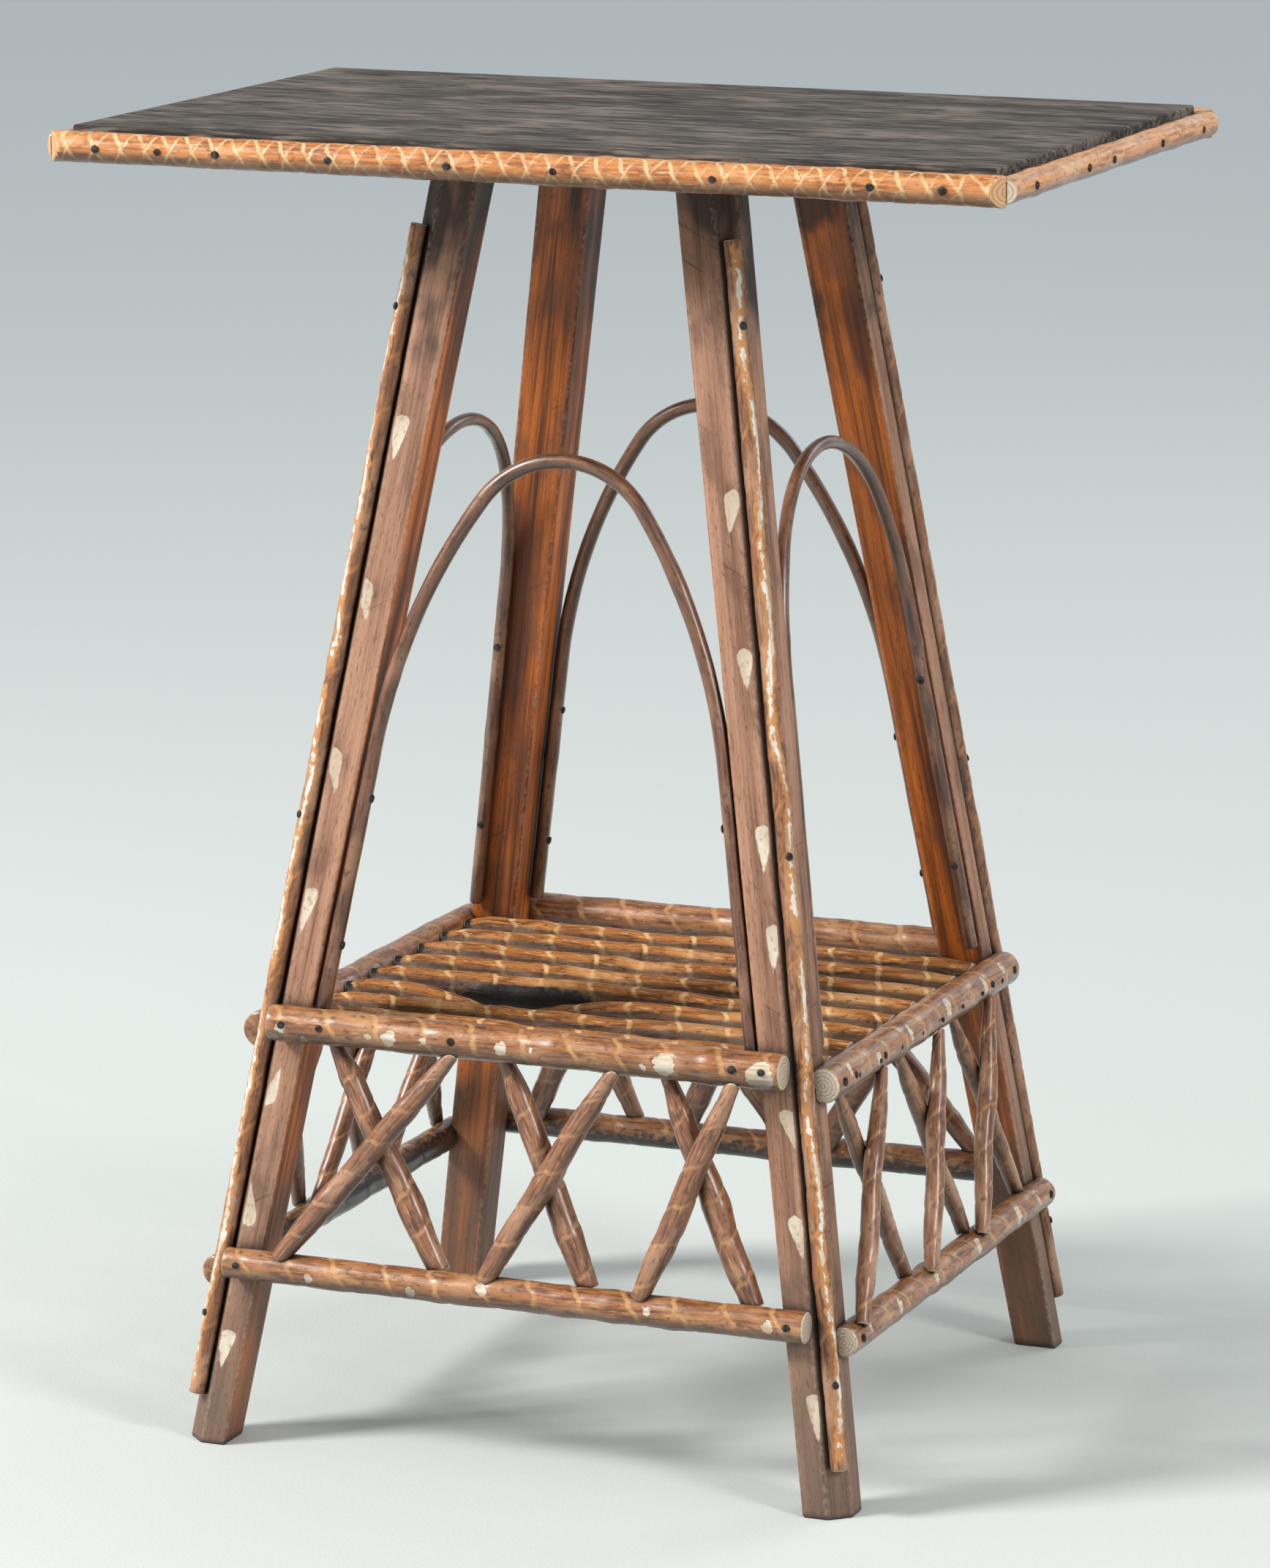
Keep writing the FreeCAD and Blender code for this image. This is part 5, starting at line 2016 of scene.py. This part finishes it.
@dataclass
class Shelf:
    """Round twigs side by side between the left and right upper rails."""

    sagging_row: int = 5
    sag: float = 12.0
    sag_place: float = -58.0
    sag_length: float = 36.0
    path_points: int = 41

    def build(self) -> None:
        """Make the shelf's twigs."""
        rails = tuple(SIDES[number].rail_cope(Course.UPPER) for number in (3, 1))
        rail_x, _, rail_z = rails[1][0]
        reach = rail_x - RAIL_RADII[Course.UPPER] + SIZES.shelf_cope
        places = np.linspace(-reach, reach, self.path_points)
        dip = np.exp(-(((places - self.sag_place) / self.sag_length) ** 2))
        bow = self.sag * dip * (np.abs(places) < reach)
        # A patch of painted shade on the row behind the sagging twig, in the gap it opens.
        gap_shade = Blaze(0.5 + self.sag_place / (2 * reach), 1.6, 1.2 * self.sag_length, 8.0)
        for number, row in enumerate(SIZES.shelf_rows):
            drop = bow if number == self.sagging_row else np.zeros_like(bow)
            ShelfTwig(
                name=f"shelf_bark_{number + 1}",
                nodes=("shelf_twigs",),
                slot="shelf_twig",
                finish=SHELF_BARK,
                path=np.column_stack([places, np.full_like(places, row), rail_z - drop]),
                radius=SIZES.shelf_twig_radius,
                face=UPRIGHT,
                seed=Seed.SHELF_TWIG + number,
                sides=32,
                knots=4,
                crook=1.3,
                rails=rails,
                whittle=(0.3, 0.12),
                whittle_length=16.0,
                painted_shade=(gap_shade,) if number == self.sagging_row - 1 else (),
            ).build()


class NailTree(TreeMaker):
    """Sets a nail on each point, its head square to the wood."""

    def __init__(self) -> None:
        """Build the tree."""
        kinds = {"Nail": "NodeSocketObject", "Least": "NodeSocketFloat", "Most": "NodeSocketFloat"}
        kinds |= {"Seed": "NodeSocketInt", "Material": "NodeSocketMaterial"}
        super().__init__("nails_on_wood", kinds)
        given = self.entry.outputs
        nail = self.node("GeometryNodeObjectInfo", {"Object": given["Nail"]})
        named = {"Name": "facing"}
        facing = self.node("GeometryNodeInputNamedAttribute", named, data_type="FLOAT_VECTOR")
        aim = self.node("FunctionNodeAlignRotationToVector", {"Vector": facing.outputs[0]}, axis="Z")
        sizes = {"Min_001": given["Least"], "Max_001": given["Most"], "Seed": given["Seed"]}
        size = self.tree.nodes.new("FunctionNodeRandomValue")
        for socket in size.inputs:
            if socket.identifier in sizes:
                self.tree.links.new(sizes[socket.identifier], socket)
        inputs = {"Points": given["Geometry"], "Instance": nail.outputs["Geometry"]}
        inputs |= {"Rotation": aim.outputs[0], "Scale": size.outputs[1]}
        placed = self.node("GeometryNodeInstanceOnPoints", inputs)
        smooth = self.node("GeometryNodeSetShadeSmooth", {"Geometry": placed.outputs[0]})
        self.close(smooth.outputs[0])


@dataclass
class NailSet:
    """Every nail that shows: a domed head, a little hammered, on a short length of shank."""

    head_radius: float = 2.2
    head_rise: float = 1.0
    shank_radius: float = 1.1
    shank: float = 4.0
    sides: int = 14
    scales: tuple[float, float] = (0.88, 1.08)
    shelf_scales: tuple[float, float] = (0.56, 0.72)

    def template(self) -> bpy.types.Object:
        """Make the nail that is copied.

        Returns:
            The nail, its head's underside at the origin.
        """
        head, shank = self.head_radius, self.shank_radius
        profile = (
            (shank * 0.4, -self.shank), (shank, -self.shank * 0.8), (shank, -0.3),
            (head * 0.86, -0.12), (head, 0.1), (head, 0.42),
            (head * 0.9, 0.7), (head * 0.62, 0.98), (head * 0.28, self.head_rise),
        )
        turns = np.arange(self.sides) * TURN / self.sides
        dent = 1 + 0.05 * np.cos(2 * turns + 0.6) + 0.03 * np.cos(3 * turns)
        rings = []
        for radius, level in profile:
            x, y = radius * dent * np.cos(turns), radius * dent * np.sin(turns)
            rings.append(np.column_stack([x, y, np.full(self.sides, level)]))
        return bpy.data.objects.new("nail_pattern", loft(np.array(rings), False))

    def build(self) -> None:
        """Set the six groups of nails."""
        tree, pattern, steel = NailTree(), self.template(), NailFinish().material()
        bpy.context.scene.collection.objects.link(pattern)
        groups = {
            "rail_nails": self.rail_nails(),
            "corner_twig_nails": self.corner_nails(),
            "arch_nails": self.arch_nails(),
            "edge_band_nails": self.band_nails(),
            "batten_nails": self.batten_nails(),
            "shelf_nails": self.shelf_nails(),
        }
        for seed, (name, places) in enumerate(groups.items(), start=1):
            heads, facings = (np.array(column) for column in zip(*places))
            source = point_mesh(heads, {"facing": facings}, False)
            least, most = self.shelf_scales if name == "shelf_nails" else self.scales
            values = {"Nail": pattern, "Least": least, "Most": most, "Seed": seed, "Material": steel}
            make_piece(f"set_{name}", tree.run(source, values), (name,), "nail")
        bpy.data.objects.remove(pattern)

    def rail_nails(self) -> Iterator[NailPlace]:
        """Place two nails in each rail, over the legs, and three in each upper one, over lattice heads.

        Yields:
            Where each head lies, and the way that it faces.
        """
        for side in SIDES:
            for course in Course:
                up, out, _ = side.rail(course)
                reach = SIZES.leg_middle(side.along, side.rail_height(course)) - SIZES.leg_chamfer / 2
                for sign in (-1, 1):
                    yield side.point(sign * reach, up, out + RAIL_RADII[course]), side.out
            up, out, _ = side.rail(Course.UPPER)
            ends = side.sizes.lattice_ends
            for part in (ends[Lay.FALL][0][0], ends[Lay.RISE][0][1], ends[Lay.RISE][2][1]):
                head = side.point(part * side.lattice_half, up, out + RAIL_RADII[Course.UPPER])
                yield head, side.out

    def corner_nails(self) -> Iterator[NailPlace]:
        """Place three nails in each corner twig.

        Yields:
            Where each head lies, and the way that it faces.
        """
        low, high = SIZES.corner_twig_ends
        for leg in LEGS:
            _, facing = leg.twig_directions()
            for share in (0.07, 0.5, 0.93):
                middle = leg.corner(low + share * (high - low), SIZES.corner_inset)
                yield middle + facing * SIZES.corner_twig_radius, facing

    def arch_nails(self) -> Iterator[NailPlace]:
        """Place two nails in each straight stretch of each arch, driven into the leg beside it.

        Yields:
            Where each head lies, and the way that it faces.
        """
        for side in SIDES:
            path = side.arch_path()
            for end, spring in ((path[0], path[1]), (path[-1], path[-2])):
                away = side.right if end @ side.right < 0 else -side.right
                grain = unit(spring - end)
                facing = unit(away - grain * (away @ grain))
                for share in (0.25, 0.8):
                    yield end + share * (spring - end) + facing * side.sizes.rod_radius, facing

    def band_nails(self) -> Iterator[NailPlace]:
        """Place the nails along the edge twigs.

        Yields:
            Where each head lies, and the way that it faces.
        """
        for side in SIDES:
            through = 2 * SIZES.band_radii[side.along] - SIZES.band_seat
            stand = SIZES.board[side.along.other] / 2 + through
            for share in side.sizes.band_nails:
                along = share * SIZES.board[side.along] / 2
                middle = side.right * along + side.level_out * stand + UPRIGHT * SIZES.band_height
                yield middle, side.level_out

    def batten_nails(self) -> Iterator[NailPlace]:
        """Place the nails up through the battens, and sideways into the legs.

        Yields:
            Where each head lies, and the way that it faces.
        """
        low = SIZES.leg_height - SIZES.batten_thickness
        face = SIZES.batten_face
        level = low + SIZES.batten_thickness / 2
        for sign in (-1, 1):
            for share in (-0.6, 0.0, 0.6):
                along = share * SIZES.leg_middle(Axis.Y, SIZES.leg_height)
                head = np.array([sign * (face + SIZES.batten_width / 2), along, low])
                yield head, np.array([0.0, 0.0, -1.0])
            for sign_y in (-1, 1):
                head = np.array([sign * face, sign_y * SIZES.leg_middle(Axis.Y, level), level])
                yield head, np.array([-sign, 0.0, 0.0])

    def shelf_nails(self) -> Iterator[NailPlace]:
        """Place a nail through a side rail into each end of each shelf twig.

        Yields:
            Where each head lies, and the way that it faces.
        """
        for side in (SIDES[1], SIDES[3]):
            up, out, _ = side.rail(Course.UPPER)
            middle = side.point(0.0, up, out) + side.level_out * RAIL_RADII[Course.UPPER]
            for row in SIZES.shelf_rows:
                yield np.array([middle[0], row, middle[2]]), side.level_out


@dataclass
class Studio:
    """Floor, soft light and the camera at the photograph's angle."""

    camera_place: Spot = (1.39274, -3.51623, 1.13339)
    yaw: float = 0.37786
    pitch: float = 0.20282
    roll: float = 0.00399
    lens: float = 156.53
    lit_place: Spot = (0.0, 0.0, 0.4)
    warm: Spot = (1.0, 0.985, 0.96)
    cool: Spot = (0.97, 0.99, 1.0)

    def build(self) -> None:
        """Set up the studio."""
        self.build_floor()
        self.build_lights()
        self.build_camera()

    def build_floor(self) -> None:
        """Lay a wide sheet of pale paper that curves up far behind the table."""
        half, behind, rise = 14.0, 16.0, 6.0
        bend = [(-9.0, 0.0), (behind, 0.0), (behind + 1.6, 0.5), (behind + 2.2, 2.0), (behind + 2.3, rise)]
        points = [(side * half, y, z) for y, z in bend for side in (-1, 1)]
        faces = [(2 * row, 2 * row + 1, 2 * row + 3, 2 * row + 2) for row in range(len(bend) - 1)]
        mesh = bpy.data.meshes.new("paper")
        mesh.from_pydata(points, [], faces)
        mesh.materials.append(FloorFinish().material())
        floor = bpy.data.objects.new("paper", mesh)
        bpy.context.scene.collection.objects.link(floor)
        floor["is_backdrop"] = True

    def build_lights(self) -> None:
        """Hang the key light, a fill from the right, a light from behind and a low sky."""
        self.hang("key", (-2.5, -2.0, 2.5), 0.9, 140.0, self.warm)
        self.hang("right", (2.8, -1.3, 2.0), 0.7, 40.0, self.warm)
        self.hang("back", (1.6, 3.0, 2.6), 1.6, 24.0, self.cool)
        world = bpy.data.worlds.new("sky")
        world.use_nodes = True
        sky = world.node_tree.nodes["Background"]
        sky.inputs["Color"].default_value = shade(214, 222, 226)
        sky.inputs["Strength"].default_value = 0.62
        bpy.context.scene.world = world

    def hang(self, name: str, place: Spot, size: float, power: float, colour: Spot) -> None:
        """Hang one soft light that points to the table.

        Args:
            name: Name of the light.
            place: Where it hangs, in metres.
            size: Side of its square panel, in metres.
            power: Power in watts.
            colour: Tint.
        """
        panel = bpy.data.lights.new(name, "AREA")
        panel.size = size
        panel.energy = power
        panel.color = colour
        light = bpy.data.objects.new(name, panel)
        bpy.context.scene.collection.objects.link(light)
        back = unit(np.array(place) - self.lit_place)
        right = unit(np.cross(UPRIGHT, back))
        light.matrix_world = self.stand(place, right, np.cross(back, right), back)

    def build_camera(self) -> None:
        """Stand the camera where the photograph was taken from."""
        ahead = np.array([-math.sin(self.yaw), math.cos(self.yaw), 0.0]) * math.cos(self.pitch)
        ahead[2] = -math.sin(self.pitch)
        level = np.array([math.cos(self.yaw), math.sin(self.yaw), 0.0])
        upright = np.cross(level, ahead)
        right = level * math.cos(self.roll) + upright * math.sin(self.roll)
        up = upright * math.cos(self.roll) - level * math.sin(self.roll)
        view = bpy.data.cameras.new("view")
        view.lens = self.lens
        view.clip_end = 100.0
        camera = bpy.data.objects.new("view", view)
        bpy.context.scene.collection.objects.link(camera)
        camera.matrix_world = self.stand(self.camera_place, right, up, -ahead)
        bpy.context.scene.camera = camera

    def stand(self, place: Spot, right: Array, up: Array, back: Array) -> Matrix:
        """Place something that faces against its back direction.

        Args:
            place: Where it stands, in metres.
            right: Its right direction.
            up: Its up direction.
            back: Its back direction.

        Returns:
            Its matrix.
        """
        matrix = np.identity(4)
        matrix[:3, 0], matrix[:3, 1], matrix[:3, 2], matrix[:3, 3] = right, up, back, place
        return Matrix(matrix.tolist())


def write_sizes() -> None:
    """Gather the CAD box and the dressed table's box as plain numbers."""
    boxes = {"cad": CAD_BOUNDS, "visual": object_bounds()}
    plain = {name: [[float(value) for value in corner] for corner in box] for name, box in boxes.items()}


def main() -> None:
    """Build every sub-assembly in order and report the pieces."""
    logging.basicConfig(level=logging.INFO, format="%(name)s: %(message)s")
    bpy.context.scene.view_settings.view_transform = "Standard"
    legs, sides = map(LegWork, LEGS), map(SideWork, SIDES)
    for assembly in (Studio(), TableTop(), *legs, *sides, Shelf(), NailSet()):
        assembly.build()
    write_sizes()


if __name__ == "__main__":
    main()
